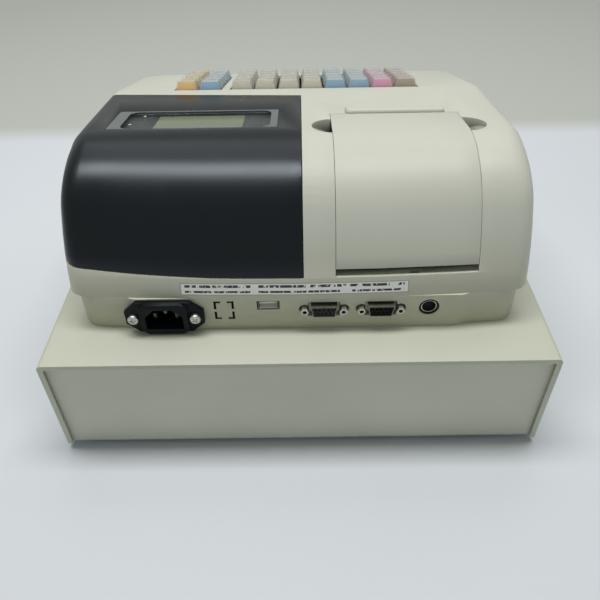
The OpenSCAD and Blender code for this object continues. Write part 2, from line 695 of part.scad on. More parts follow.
// ---- Upper case ----
// Lower edge of the display cover, and the space that the cover fills
function display_edge(x) = display_low + display_rise * pow(max(0, x - rise_x) / (case_half - rise_x), 2);
module display_region(g) {
    x = [display_x - g, case_half + 1];
    edge_x = concat([x[0]], [for (i = [0 : 8]) rise_x + (x[1] - rise_x) * i / 8]);
    front = [cy(display_u) - g, cy(display_u + display_slant) - g];
    intersection() {
        translate([0, case_y + 20, 0]) rotate([90, 0, 0]) linear_extrude(case_y + 20 - front[1] + 1)
            polygon(concat([for (e = edge_x) [e, cz(display_edge(e)) - g]],
                           [[x[1], cz(120)], [x[0], cz(120)]]));
        translate([0, 0, cz(0)]) linear_extrude(120)
            polygon([[x[0], case_y + 20], [x[0], front[0]], [x[1], front[1]], [x[1], case_y + 20]]);
    }
}
module pcover_region(g, low)
    slab([pcover_end - g, pcover_x + g], [cy(pcover_u + g), case_y + 20], [cz(low), cz(120)]);

// Half ellipse beside the printer cover, side = 1 towards the middle of the case
module finger_outline(side, grow) {
    a = finger_w + grow;
    b = finger_l / 2 + grow;
    points = [for (i = [0 : 16]) [side * a * sin(180 * i / 16), b * cos(180 * i / 16)]];
    translate([side > 0 ? pcover_x : pcover_end, 0]) polygon(points);
}
finger_tilt = 8.2;
finger_skin = 1.2;
module on_finger() translate([0, cy(finger_u), cz(98.4)]) rotate([finger_tilt, 0, 0]) children();
module finger_cup(side) on_finger() difference() {
    translate([0, 0, -finger_depth - 2]) linear_extrude(finger_depth + 2 - finger_skin)
        finger_outline(side, 1.8);
    finger_well(side);
}
module finger_well(side) {
    x = side > 0 ? pcover_x : pcover_end;
    intersection() {
        translate([0, 0, -finger_depth]) linear_extrude(finger_depth + 10) finger_outline(side, 0);
        translate([x, 0, -finger_depth]) rotate([0, -side * atan((finger_depth - 3) / finger_w), 0])
            translate([-60, -60, 0]) cube([120, 120, 60]);
    }
}
module hinge_boss(s) {
    x = s > 0 ? pcover_x : pcover_end;
    x_in = x + s * (cover_gap + 0.2);
    translate([min(x_in, x_in + s * 4), 0, 0]) rotate([90, 0, 90]) linear_extrude(4) difference() {
        union() {
            translate([hinge_y, hinge_z]) circle(r = hinge_r + 2);
            translate([hinge_y - 3.5, cz(shelf_h) - shell_t]) square([7, hinge_z - cz(shelf_h) + shell_t]);
            translate([hinge_y, cz(shelf_h) - shell_t]) square([hinge_u - shelf_u - bow(x), shell_t]);
        }
        translate([hinge_y, hinge_z]) circle(r = hinge_r + run_fit);
    }
}
// Shelf inside the rear wall, under the printer cover's lower edge
shelf_d = 6;
shelf_u = slope_c[0] - sqrt(pow(slope_r, 2) - pow(shelf_h - slope_c[1], 2)) + 1;
module printer_shelf() translate([0, 0, cz(shelf_h) - shell_t]) linear_extrude(shell_t) {
    xs = [for (i = [0 : 8]) pcover_end - 4 + (pcover_w + 8) * i / 8];
    polygon(concat([for (x = xs) [x, cy(bow(x) + shelf_u)]],
                   [for (i = [8 : -1 : 0]) [xs[i], cy(bow(xs[i]) + shelf_u + shelf_d)]]));
}
key_blocks = [8, 2];
key_x = [[-key_left, -key_left + key_blocks[0] * key_pitch],
         [key_right, key_right + key_blocks[1] * key_pitch]];
module key_openings(z) for (b = key_x)
    slab([b[0] - 0.3, b[1] + 0.3], [-key_edge - key_rows * key_pitch - 0.6, -key_edge + 0.6], z);

module upper_case() color(ivory) difference() {
    union() {
        difference() {
            case_shell();
            display_region(cover_gap);
            pcover_region(cover_gap, shelf_h);
        }
        printer_shelf();
        for (s = [-1, 1]) hinge_boss(s);
        for (s = [-1, 1]) finger_cup(s);
        for (s = [-1, 1], u = post_u) {
            rod_z(s * post_x, cy(u), [cz(seam_h), cz(seam_h + 18)], post_r);
            slab([min(s * post_x, s * (case_half - 1.5)), max(s * post_x, s * (case_half - 1.5))],
                 [cy(u) - 1, cy(u) + 1], [cz(seam_h), cz(seam_h + 18)]);
        }
    }
    on_finger() for (s = [-1, 1]) finger_well(s);
    pcover_region(cover_gap, shelf_h + 2.4 + hinge_d + 3);
    on_top(exit_x, exit_u) exit_pill(0.2, [-6, 6]);
    on_deck() key_openings([-8, 8]);
    for (s = [-1, 1], u = post_u)
        rod_z(s * post_x, cy(u), [cz(seam_h - 1), cz(seam_h + 16)], screw_r + run_fit);
    slab([pcover_x - 52.2, pcover_x - 46.9], [cy(10.6), cy(7.2)], [cz(shelf_h - 5), cz(shelf_h + 1)]);
}

// ---- Display ----
module window_slab(inset, z)
    slab([-window_w / 2 + inset, window_w / 2 - inset], [-window_d / 2 + inset, window_d / 2 - inset], z);
module display_cover() color(charcoal) difference() {
    intersection() {
        case_shell();
        display_region(0);
    }
    on_top(window_x, window_u) {
        window_slab(0, [-recess_t, 8]);
        window_slab(window_flange, [-8, 8]);
    }
}
module display_window() color(clear_window) on_top(window_x, window_u) {
    window_slab(0.2, [-recess_t, -0.1]);
    window_slab(window_flange + 0.2, [-recess_t - window_t, -recess_t + 0.1]);
}
lcd_x = 36.6 - window_x;
lcd_d = window_d - 2 * window_flange - 1;
module lcd_module() on_top(window_x, window_u) {
    color(lcd_green)
        slab([lcd_x, lcd_x + lcd_w], [-lcd_d / 2, lcd_d / 2], [-6, -recess_t - window_t - flat_fit]);
    color(board_green) window_slab(window_flange + 1.5, [-7.6, -6]);
}

// ---- Printer cover ----
module pcover_ear(s) {
    x = s > 0 ? pcover_x : pcover_end;
    r = hinge_r + 2;
    pin = [x - s, x + s * (cover_gap + 4)];
    translate([min(x, x - s * ear_t), 0, 0]) rotate([90, 0, 90]) linear_extrude(ear_t) {
        translate([hinge_y, hinge_z]) circle(r = r);
        polygon([for (p = [[-r, 0], [-1, 1], [6, 1], [r, 0]])
            [hinge_y - p[0], p[1] > 0 ? cz(slope_h(hinge_u + p[0], x) - shell_t / 2) : hinge_z]]);
    }
    rod_x([min(pin), max(pin)], hinge_y, hinge_z, hinge_r);
}
module printer_cover() color(ivory) {
    intersection() {
        case_shell();
        pcover_region(0, pcover_low);
    }
    for (s = [-1, 1]) pcover_ear(s);
}

// ---- Paper exit ----
module exit_pill(g, z) translate([0, 0, z[0]]) linear_extrude(z[1] - z[0]) {
    r = 3;
    square([exit_w + 2 * g, exit_d + 2 * g - 2 * r], center = true);
    square([exit_w + 2 * g - 2 * r, exit_d + 2 * g], center = true);
    for (sx = [-1, 1], sy = [-1, 1])
        translate([sx * (exit_w / 2 + g - r), sy * (exit_d / 2 + g - r)]) circle(r = r);
}
exit_throat = [-5.4, 1];
module paper_exit() color(ivory) on_top(exit_x, exit_u) difference() {
    union() {
        exit_pill(0, [-shell_t - 0.6, 0]);
        intersection() {
            exit_pill(0, [-1, 2.6]);
            slab([-exit_w, exit_w], [-1, exit_d], [-1, 2.6]);
        }
    }
    slab([-paper_w / 2 - 1.5, paper_w / 2 + 1.5], exit_throat, [-8, 1.4]);
}
module tear_bar() color(zinc) on_top(exit_x, exit_u) {
    teeth = 28;
    pitch = paper_w / teeth;
    linear_extrude(0.5) polygon(concat(
        [[paper_w / 2, -7.9], [-paper_w / 2, -7.9]],
        [for (i = [0 : 2 * teeth]) [-paper_w / 2 + i * pitch / 2, i % 2 == 0 ? -6.6 : -5.6]]));
}

// ---- Screws ----
module screws() color(zinc) {
    for (s = [-1, 1], u = post_u) {
        rod_z(s * post_x, cy(u), [cz(seam_h - 9), cz(seam_h - 6)], 3.2);
        rod_z(s * post_x, cy(u), [cz(seam_h - 7), cz(seam_h + 13)], screw_r);
    }
    for (p = board_screws) {
        rod_z(p[0], p[1], [board_z, board_z + 2], 2.8);
        rod_z(p[0], p[1], [board_z - 7, board_z + 1], screw_r);
    }
    for (s = [-1, 1]) {
        rod_y(inlet_x + s * inlet_pitch / 2, [cy(panel_u - 3), cy(panel_u - 5.4)], inlet_z, 3.4);
        rod_y(inlet_x + s * inlet_pitch / 2, [cy(panel_u + shell_t + 3), cy(panel_u - 4)], inlet_z, screw_r);
    }
}

// ---- Printer ----
frame_x = [exit_x - paper_w / 2 - 5, exit_x + paper_w / 2 + 5];
plate_t = 1.5;
platen_y = cy(exit_u) - 2 + platen_d / 2;
platen_z = cz(66);
bay_floor = cz(40);
frame_y = [platen_y - 17, platen_y + 26];
roll_y = case_y - 56;
roll_z = cz(59.6);
roll_r = roll_d / 2;
mesh_dist = gear_m * (gear_teeth + pinion_teeth) / 2;
mesh_lean = -40;
motor_y = platen_y + mesh_dist * cos(mesh_lean);
motor_z = platen_z + mesh_dist * sin(mesh_lean);
gear_x = frame_x[0] - 4.6;
gear_w = 3.6;
lever_y = platen_y + 18;
lever_z = platen_z + 4;

module printer_frame() color(zinc) difference() {
    union() {
        for (x = [frame_x[0], frame_x[1] - plate_t])
            translate([x, 0, 0]) rotate([90, 0, 90]) linear_extrude(plate_t) polygon([
                [frame_y[0], bay_floor], [frame_y[0], platen_z + 8], [frame_y[0] + 4, platen_z + 12],
                [platen_y + 6, platen_z + 12], [frame_y[1], platen_z + 2], [frame_y[1], bay_floor]]);
        slab(frame_x, frame_y, [bay_floor, bay_floor + plate_t]);
        rod_x([frame_x[1] - plate_t, frame_x[1] + 4], lever_y, lever_z, 2);
    }
    rod_x([frame_x[0] - 1, frame_x[1] + 1], platen_y, platen_z, shaft_d / 2 + run_fit);
    rod_x([frame_x[0] - 1, frame_x[0] + plate_t + 1], motor_y, motor_z, 2.4);
}
module platen_roller() {
    color(rubber_black)
        rod_x([frame_x[0] + plate_t + 1, frame_x[1] - plate_t - 1], platen_y, platen_z, platen_d / 2);
    color(steel) rod_x([gear_x - 1, frame_x[1] + 1.5], platen_y, platen_z, shaft_d / 2);
}
// Involute gear section
function involute(r, a) = let (q = a * PI / 180) [r * (cos(a) + q * sin(a)), r * (sin(a) - q * cos(a))];
module gear_section(n, turn) {
    pitch_r = gear_m * n / 2;
    base_r = pitch_r * cos(20);
    tip_r = pitch_r + gear_m * 0.92;
    root_r = pitch_r - gear_m * 1.25;
    span = sqrt(pow(tip_r / base_r, 2) - 1) * 180 / PI;
    at_pitch = sqrt(pow(pitch_r / base_r, 2) - 1) * 180 / PI;
    half_tooth = 90 / n - 0.09 / pitch_r * 180 / PI + at_pitch - 20;
    flank = [for (i = [0 : 5]) involute(base_r, span * i / 5)];
    function turned(p, a) = [p[0] * cos(a) - p[1] * sin(a), p[0] * sin(a) + p[1] * cos(a)];
    rotate(turn) polygon([for (k = [0 : n - 1]) let (a = 360 * k / n) each concat(
        [root_r * [cos(a - half_tooth - 1), sin(a - half_tooth - 1)]],
        [for (p = flank) turned(p, a - half_tooth)],
        [for (i = [5 : -1 : 0]) turned([flank[i][0], -flank[i][1]], a + half_tooth)],
        [root_r * [cos(a + half_tooth + 1), sin(a + half_tooth + 1)]])]);
}
module gear(n, turn, y, z, bore) color(nylon) translate([gear_x, y, z]) rotate([90, 0, 90]) difference() {
    linear_extrude(gear_w) gear_section(n, turn);
    translate([0, 0, -1]) cylinder(r = bore, h = gear_w + 2);
}
module platen_gear() gear(gear_teeth, mesh_lean, platen_y, platen_z, shaft_d / 2);
module motor_pinion() {
    gear(pinion_teeth, mesh_lean + 180 + 180 / pinion_teeth, motor_y, motor_z, 1);
    color(steel) rod_x([gear_x - 0.5, frame_x[0] + plate_t + 3], motor_y, motor_z, 1);
}
module stepper_motor() color(steel) difference() {
    union() {
        rod_x([frame_x[0] + plate_t, frame_x[0] + plate_t + 16], motor_y, motor_z, motor_d / 2);
        rod_x([frame_x[0], frame_x[0] + plate_t + 1], motor_y, motor_z, 2.3);
    }
    rod_x([frame_x[0] - 1, frame_x[0] + plate_t + 5], motor_y, motor_z, 1 + run_fit);
}
module thermal_head() color(zinc) {
    head_y = platen_y - platen_d / 2 - roll_gap;
    slab([frame_x[0] + plate_t, frame_x[1] - plate_t], [head_y - 5, head_y], [platen_z - 7, platen_z + 6]);
}
module head_lever() color(lever_green) translate([frame_x[1] + 0.4, lever_y, lever_z]) difference() {
    union() {
        rotate([0, 90, 0]) cylinder(r = 4.5, h = 3);
        rotate([25, 0, 0]) translate([0, 0, -3]) cube([3, 23, 6]);
        rotate([25, 0, 0]) translate([0, 18, -3]) cube([7, 5, 6]);
    }
    rotate([0, 90, 0]) translate([0, 0, -1]) cylinder(r = 2 + run_fit, h = 6);
}

// ---- Paper bay and roll ----
bay_x = [frame_x[0] - 0.5, frame_x[1] + 0.5];
bay_t = 2;
trough_r = roll_r + 3;
leg_y = [frame_y[0] + 4, roll_y + 1];
module paper_bay() color(dark_plastic) {
    difference() {
        rod_x([bay_x[0] - bay_t, bay_x[1] + bay_t], roll_y, roll_z, trough_r + bay_t);
        rod_x([bay_x[0], bay_x[1]], roll_y, roll_z, trough_r);
        slab([bay_x[0] - 10, bay_x[1] + 10], [roll_y - 60, roll_y + 60], [roll_z + 6, roll_z + 60]);
        rod_x([bay_x[0] - 5, bay_x[1] + 5], roll_y, roll_z, 3 + run_fit);
        slab([bay_x[0] - 5, bay_x[1] + 5], [roll_y - 3 - run_fit, roll_y + 3 + run_fit], [roll_z, roll_z + 60]);
    }
    slab([bay_x[0] - bay_t, bay_x[1] + bay_t], [frame_y[0] - 2, roll_y - trough_r + 8],
         [bay_floor - bay_t, bay_floor]);
    for (x = [bay_x[0] + 3, bay_x[1] - 3]) {
        rod_z(x, leg_y[0], [cz(shell_t), bay_floor - 1], 3.5);
        rod_z(x, leg_y[1], [cz(shell_t), roll_z - trough_r], 3.5);
    }
}
module paper_roll() color(paper_white) difference() {
    rod_x([exit_x - paper_w / 2, exit_x + paper_w / 2], roll_y, roll_z, roll_r);
    rod_x([exit_x - paper_w / 2 - 1, exit_x + paper_w / 2 + 1], roll_y, roll_z, 6);
}
module roll_spindle() color(till_grey) {
    rod_x([exit_x - paper_w / 2 - 3, exit_x + paper_w / 2 + 3], roll_y, roll_z, 6 - run_fit);
    rod_x([bay_x[0] - bay_t + 0.2, bay_x[1] + bay_t - 0.2], roll_y, roll_z, 3);
}

// ---- Electronics ----
module main_board() color(board_green)
translate([0, 0, board_z - board_t]) linear_extrude(board_t) difference() {
    polygon([[board_x[0], board_y[1]], [board_x[1], board_y[1]], [board_x[1], board_y[0]],
             [-20, board_y[0]], [-20, board_neck_y], [board_x[0], board_neck_y]]);
    for (p = board_screws) translate(p) circle(r = screw_r + run_fit);
}
module transformer() {
    x = 98;
    y = case_y - 75;
    color(zinc) slab([x - 32, x + 32], [y - 20, y + 20], [cz(shell_t), cz(shell_t) + 1.2]);
    color(steel) difference() {
        slab([x - 24, x + 24], [y - 14, y + 14], [cz(shell_t) + 1.2, cz(shell_t) + 41]);
        slab([x - 16, x + 16], [y - 15, y + 15], [cz(shell_t) + 9, cz(shell_t) + 33]);
    }
    color(copper) slab([x - 15.8, x + 15.8], [y - 19, y + 19], [cz(shell_t) + 9.2, cz(shell_t) + 32.8]);
}
module hexagon_plate(w, h, cut) polygon([
    [-w / 2, -cut], [-w / 2, cut], [-w / 2 + h / 2 - cut + 1, h / 2], [w / 2 - h / 2 + cut - 1, h / 2],
    [w / 2, cut], [w / 2, -cut], [w / 2 - h / 2 + cut - 1, -h / 2], [-w / 2 + h / 2 - cut + 1, -h / 2]]);
module inlet_housing() color(rubber_black) difference() {
    union() {
        translate([inlet_x, cy(panel_u), inlet_z]) rotate([-90, 0, 0]) linear_extrude(3)
            hexagon_plate(inlet_pitch + 11, 24.6, 5);
        translate([inlet_x, cy(panel_u), inlet_z]) rotate([-90, 0, 0]) linear_extrude(5.5)
            hexagon_plate(31, 24.6, 9);
        slab([inlet_x - 13.6, inlet_x + 13.6], [cy(panel_u + 19), cy(panel_u - 2)],
             [inlet_z - 9.4, inlet_z + 9.4]);
    }
    translate([inlet_x, cy(panel_u + 12), inlet_z]) rotate([-90, 0, 0]) mirror([0, 1, 0]) linear_extrude(20)
        polygon([[-12, -8], [12, -8], [12, 2], [6, 8], [-6, 8], [-12, 2]]);
    for (s = [-1, 1])
        rod_y(inlet_x + s * inlet_pitch / 2, [cy(panel_u + 5), cy(panel_u - 4)], inlet_z, screw_r + run_fit);
}
module inlet_pins() color(zinc) for (p = [[-7, -2], [0, 2], [7, -2]])
    slab([inlet_x + p[0] - 1, inlet_x + p[0] + 1], [cy(panel_u + 12), cy(panel_u + 1)],
         [inlet_z + p[1] - 2, inlet_z + p[1] + 2]);
module usb_port() {
    color(zinc) difference() {
        slab([usb_x - 6.6, usb_x + 6.6], [cy(panel_u + 15), cy(panel_u + 0.6)], [usb_z - 3, usb_z + 3]);
        slab([usb_x - 6.1, usb_x + 6.1], [cy(panel_u + 12), cy(panel_u)], [usb_z - 2.5, usb_z + 2.5]);
    }
    color(nylon)
        slab([usb_x - 5.6, usb_x + 5.6], [cy(panel_u + 12), cy(panel_u + 2)], [usb_z - 0.2, usb_z + 1.8]);
    color(dark_plastic)
        slab([usb_x - 6.6, usb_x + 6.6], [cy(panel_u + 15), cy(panel_u + 4)], [board_z, usb_z - 3]);
}
module shell_d(w, h) polygon([[-w / 2, h / 2], [w / 2, h / 2], [w / 2 - 1.4, -h / 2], [-w / 2 + 1.4, -h / 2]]);
module serial_ports() for (x = serial_x) {
    color(zinc) difference() {
        translate([x, cy(port_u), serial_z]) rotate([90, 0, 0]) linear_extrude(1)
            square([30.8, 12.4], center = true);
        for (s = [-1, 1]) rod_y(x + s * jack_pitch / 2, [cy(panel_u + 4), cy(panel_u)], serial_z, 1.6);
    }
    color(zinc) translate([x, cy(panel_u - 3.4), serial_z]) rotate([90, 0, 0])
        linear_extrude(port_u - panel_u + 3.4) difference() {
            shell_d(16.9, 8.4);
            shell_d(15.9, 7.4);
        }
    color(dark_plastic) difference() {
        translate([x, cy(panel_u - 2.8), serial_z]) rotate([90, 0, 0])
            linear_extrude(port_u - panel_u + 2.8) shell_d(15.8, 7.3);
        for (i = [-2 : 2]) rod_y(x + i * 2.77, [cy(panel_u), cy(panel_u - 4)], serial_z + 1.4, 0.6);
        for (i = [-1.5 : 1.5]) rod_y(x + i * 2.77, [cy(panel_u), cy(panel_u - 4)], serial_z - 1.4, 0.6);
    }
    color(dark_plastic)
        slab([x - 15.4, x + 15.4], [cy(panel_u + 12), cy(panel_u + 3.2)], [board_z, serial_z + 6.2]);
}
module serial_jackscrews() color(zinc) for (x = serial_x, s = [-1, 1])
    translate([x + s * jack_pitch / 2, cy(port_u), serial_z]) rotate([-90, 0, 0]) difference() {
        cylinder(r = 2.75, h = port_u - panel_u + 3.4, $fn = 6);
        translate([0, 0, -1]) cylinder(r = jack_r, h = 8);
    }
module drawer_socket() color(dark_plastic) difference() {
    union() {
        rod_y(din_x, [cy(panel_u + 12), cy(panel_u + 0.4)], din_z, din_d / 2);
        slab([din_x - 7, din_x + 7], [cy(panel_u + 14), cy(panel_u + 3.4)], [board_z, din_z + 7]);
    }
    rod_y(din_x, [cy(panel_u + 9), cy(panel_u)], din_z, din_d / 2 - 1.2);
}

// ---- Keyboard ----
key_travel_room = key_travel + 0.6;
guide_z = -3 - key_travel_room;
stem_w = 7;
stem_end = guide_z - 2 - key_travel_room;
contact_z = stem_end - key_travel - 0.5;
function column_x(c) =
    c < key_blocks[0] ? key_x[0][0] + (c + 0.5) * key_pitch
                      : key_x[1][0] + (c - key_blocks[0] + 0.5) * key_pitch;
function row_y(r) = -key_edge - (r + 0.5) * key_pitch;
module key_frame() color(dark_plastic) on_deck() {
    x = [key_x[0][0] - 5, key_x[1][1] + 5];
    y = [-key_edge - key_rows * key_pitch - 5, -key_edge + 4];
    difference() {
        slab(x, y, [guide_z - 2, -shell_t - 0.2]);
        for (b = key_x) slab([b[0] - 0.5, b[1] + 0.5],
                             [-key_edge - key_rows * key_pitch - 0.8, -key_edge + 0.8], [guide_z, 1]);
        for (c = [0 : 9], r = [0 : key_rows - 1])
            slab([column_x(c) - stem_w / 2 - 0.3, column_x(c) + stem_w / 2 + 0.3],
                 [row_y(r) - stem_w / 2 - 0.3, row_y(r) + stem_w / 2 + 0.3], [guide_z - 3, guide_z + 1]);
    }
    for (cx = x, cyy = y) {
        px = cx + (cx < 0 ? 3 : -3);
        py = cyy + (cyy < -20 ? 3 : -3);
        rod_z(px, py, [contact_z, guide_z - 1], 2.5);
    }
}
module key_board() color(board_green) on_deck()
    slab([key_x[0][0] - 5, key_x[1][1] + 5], [-key_edge - key_rows * key_pitch - 5, -key_edge + 4],
         [contact_z - 1.6, contact_z]);
module key_column(c) color(key_colours[c]) on_deck() for (r = [0 : key_rows - 1])
    translate([column_x(c), row_y(r), 0]) {
        linear_extrude(key_h, scale = key_top / key_foot) square(key_foot, center = true);
        translate([0, 0, -3]) linear_extrude(3) square(key_foot, center = true);
        translate([0, 0, stem_end]) linear_extrude(-stem_end - 2) square(stem_w, center = true);
    }

drawer_cover();
drawer_base();
drawer_rear_panel();
rubber_feet();
guide_rails();
rail_rollers();
tray_rollers();
drawer_tray();
drawer_front();
till_insert();
clip_rod();
bill_clip(0);  // bill_clip_1
bill_clip(1);  // bill_clip_2
bill_clip(2);  // bill_clip_3
bill_clip(3);  // bill_clip_4
lock_body();
lock_cam();
solenoid();
solenoid_plunger();
latch_lever();
kick_spring();
lower_case();
upper_case();
display_cover();
display_window();
lcd_module();
printer_cover();
paper_exit();
tear_bar();
screws();
printer_frame();
thermal_head();
platen_roller();
platen_gear();
motor_pinion();
stepper_motor();
paper_bay();
paper_roll();
roll_spindle();
head_lever();
main_board();
transformer();
inlet_housing();
inlet_pins();
usb_port();
serial_ports();
serial_jackscrews();
drawer_socket();
key_frame();
key_board();
key_column(0);  // key_column_1
key_column(1);  // key_column_2
key_column(2);  // key_column_3
key_column(3);  // key_column_4
key_column(4);  // key_column_5
key_column(5);  // key_column_6
key_column(6);  // key_column_7
key_column(7);  // key_column_8
key_column(8);  // key_column_9
key_column(9);  // key_column_10
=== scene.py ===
# Electronic cash register on its steel drawer: finishes, key caps, window, label, lamps and camera.
# Metres, operator at -Y, connectors at +Y, floor at z = 0.
# Sizes in the dictionaries are millimetres and degrees, or metres from the floor on.
import json
import math

import bpy
from mathutils import Matrix, Vector


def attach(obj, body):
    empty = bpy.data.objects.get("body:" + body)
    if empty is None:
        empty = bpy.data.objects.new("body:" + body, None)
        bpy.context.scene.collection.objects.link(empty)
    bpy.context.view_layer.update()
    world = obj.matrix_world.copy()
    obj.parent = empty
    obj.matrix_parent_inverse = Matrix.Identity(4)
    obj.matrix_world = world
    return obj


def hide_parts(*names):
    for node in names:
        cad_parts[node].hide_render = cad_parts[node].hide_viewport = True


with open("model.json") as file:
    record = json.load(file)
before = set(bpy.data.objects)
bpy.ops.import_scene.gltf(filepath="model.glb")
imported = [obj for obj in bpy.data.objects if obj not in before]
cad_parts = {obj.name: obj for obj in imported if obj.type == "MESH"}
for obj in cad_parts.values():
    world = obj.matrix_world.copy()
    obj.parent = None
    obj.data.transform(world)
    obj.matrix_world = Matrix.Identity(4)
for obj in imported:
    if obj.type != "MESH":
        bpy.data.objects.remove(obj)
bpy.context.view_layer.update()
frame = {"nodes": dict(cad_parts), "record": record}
nodes = frame["nodes"]
bodies = frame["record"]["behaviour"]["bodies"]
bodyOf = {member: body for body, members in bodies.items() for member in members}
print("frame loaded:", len(nodes), "nodes")


def nodeCentre(node):  # in millimetres
    corners = [node.matrix_world @ Vector(corner) for corner in node.bound_box]
    return [round((min(axis) + max(axis)) * 500, 3) for axis in zip(*corners)]


centreOf = {name: nodeCentre(node) for name, node in nodes.items()}


def mm(*values):  # millimetres to metres
    return [value / 1000 for value in values]


def letGo():  # object mode with nothing selected
    if bpy.context.object and bpy.context.object.mode != "OBJECT":
        bpy.ops.object.mode_set(mode="OBJECT")
    bpy.ops.object.select_all(action="DESELECT")


def focus(piece):  # the one selected and active piece
    letGo()
    piece.select_set(True)
    bpy.context.view_layer.objects.active = piece


def applied(piece, kind, **settings):  # adds one modifier and applies it
    modifier = piece.modifiers.new(kind.lower(), kind)
    for name, value in settings.items():
        setattr(modifier, name, value)
    focus(piece)
    bpy.ops.object.modifier_apply(modifier=modifier.name)


def bevelled(piece, width, segments, angle):  # breaks the edges sharper than the angle
    applied(piece, "BEVEL", width=width / 1000, segments=segments, limit_method="ANGLE",
            angle_limit=math.radians(angle))


def pick(piece, test, what="FACE"):  # edit mode with the faces or edges chosen by their place
    focus(piece)
    mesh = piece.data
    for group in (mesh.vertices, mesh.edges, mesh.polygons):
        group.foreach_set("select", [False] * len(group))
    bpy.context.tool_settings.mesh_select_mode = (False, what == "EDGE", what == "FACE")
    if what == "FACE":
        for face in mesh.polygons:
            face.select = test(face.center, face.normal)
    else:
        for edge in mesh.edges:
            ends = [mesh.vertices[i].co for i in edge.vertices]
            edge.select = test((ends[0] + ends[1]) / 2, (ends[1] - ends[0]).normalized())
    bpy.ops.object.mode_set(mode="EDIT")


def insetTop(piece, steps):  # each step is a width and a depth
    pick(piece, lambda centre, normal: normal.z > 0.9)
    for wide, deep in steps:
        bpy.ops.mesh.inset(thickness=wide / 1000, depth=deep / 1000)
    bpy.ops.object.mode_set(mode="OBJECT")


def done(piece, angle=35):  # transforms applied, smooth up to the angle
    focus(piece)
    bpy.ops.object.transform_apply(location=True, rotation=True, scale=True)
    bpy.ops.object.shade_smooth_by_angle(angle=math.radians(angle))
    return piece


def block(name, *spans):  # a box from its spans along x, y and z
    letGo()
    bpy.ops.mesh.primitive_cube_add(size=1, location=mm(*[(low + high) / 2 for low, high in spans]))
    piece = bpy.context.object
    piece.name = name
    piece.scale = mm(*[high - low for low, high in spans])
    bpy.ops.object.transform_apply(location=True, rotation=True, scale=True)
    return piece


def drum(name, centre, radius, length, axis="z", sides=48):  # a cylinder along y or z
    letGo()
    turn = (math.pi / 2, 0, 0) if axis == "y" else (0, 0, 0)
    bpy.ops.mesh.primitive_cylinder_add(vertices=sides, radius=radius / 1000, depth=length / 1000,
                                        location=mm(*centre), rotation=turn)
    piece = bpy.context.object
    piece.name = name
    bpy.ops.object.transform_apply(location=True, rotation=True, scale=True)
    return piece


def copied(piece, name, place):  # a copy with its own mesh, moved by a matrix
    mesh = piece.data.copy()
    mesh.transform(place)
    copy = bpy.data.objects.new(name, mesh)
    bpy.context.collection.objects.link(copy)
    return copy


def joined(name, pieces):  # several pieces made into one
    focus(pieces[0])
    for piece in pieces:
        piece.select_set(True)
    if len(pieces) > 1:
        bpy.ops.object.join()
    pieces[0].name = name
    return pieces[0]


def cut(piece, tool):  # takes the tool's shape out of the piece
    applied(piece, "BOOLEAN", operation="DIFFERENCE", solver="EXACT", object=tool)
    bpy.data.objects.remove(tool)


edgeSet = dict(weld=0.004, flat=0.3, segments=2, smooth=32)


def softened(name, width=0, angle=48):  # a node's shape with its edges broken
    piece = bpy.data.objects.new(name + "_shape", nodes[name].data.copy())
    bpy.context.collection.objects.link(piece)
    focus(piece)
    bpy.ops.object.mode_set(mode="EDIT")
    bpy.ops.mesh.select_all(action="SELECT")
    bpy.ops.mesh.remove_doubles(threshold=edgeSet["weld"] / 1000)
    bpy.ops.mesh.dissolve_limited(angle_limit=math.radians(edgeSet["flat"]))
    bpy.ops.object.mode_set(mode="OBJECT")
    if width:
        bevelled(piece, width, edgeSet["segments"], angle)
    return done(piece, edgeSet["smooth"])


def placed(piece, finishes, body, stands=()):  # stands holds the frame nodes that it replaces
    piece.data.materials.clear()
    for finish in finishes if isinstance(finishes, list) else [finishes]:
        piece.data.materials.append(finish)
    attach(piece, body)
    if stands:
        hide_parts(*stands)
    return piece


class Wire:  # a shader socket that plain sums can be done on
    def __init__(self, finish, socket):
        self.finish = finish
        self.socket = socket

    def sum(self, how, first, second=0.0):
        return self.finish.node("ShaderNodeMath", {"operation": how}, {0: first, 1: second})

    def __add__(self, other):
        return self.sum("ADD", self, other)

    def __radd__(self, other):
        return self.sum("ADD", other, self)

    def __sub__(self, other):
        return self.sum("SUBTRACT", self, other)

    def __rsub__(self, other):
        return self.sum("SUBTRACT", other, self)

    def __mul__(self, other):
        return self.sum("MULTIPLY", self, other)

    def __lt__(self, other):
        return self.sum("LESS_THAN", self, other)

    def __gt__(self, other):
        return self.sum("GREATER_THAN", self, other)

    def fraction(self):
        return self.sum("FRACT", self)

    def size(self):
        return self.sum("ABSOLUTE", self)

    def power(self, exponent):
        return self.sum("POWER", self, exponent)


def paint(red, green, blue, level=1.0):  # screen colour 0..255 as linear light
    def linear(value):
        value = value / 255
        return value / 12.92 if value <= 0.04045 else ((value + 0.055) / 1.055) ** 2.4
    return (linear(red) * level, linear(green) * level, linear(blue) * level, 1.0)


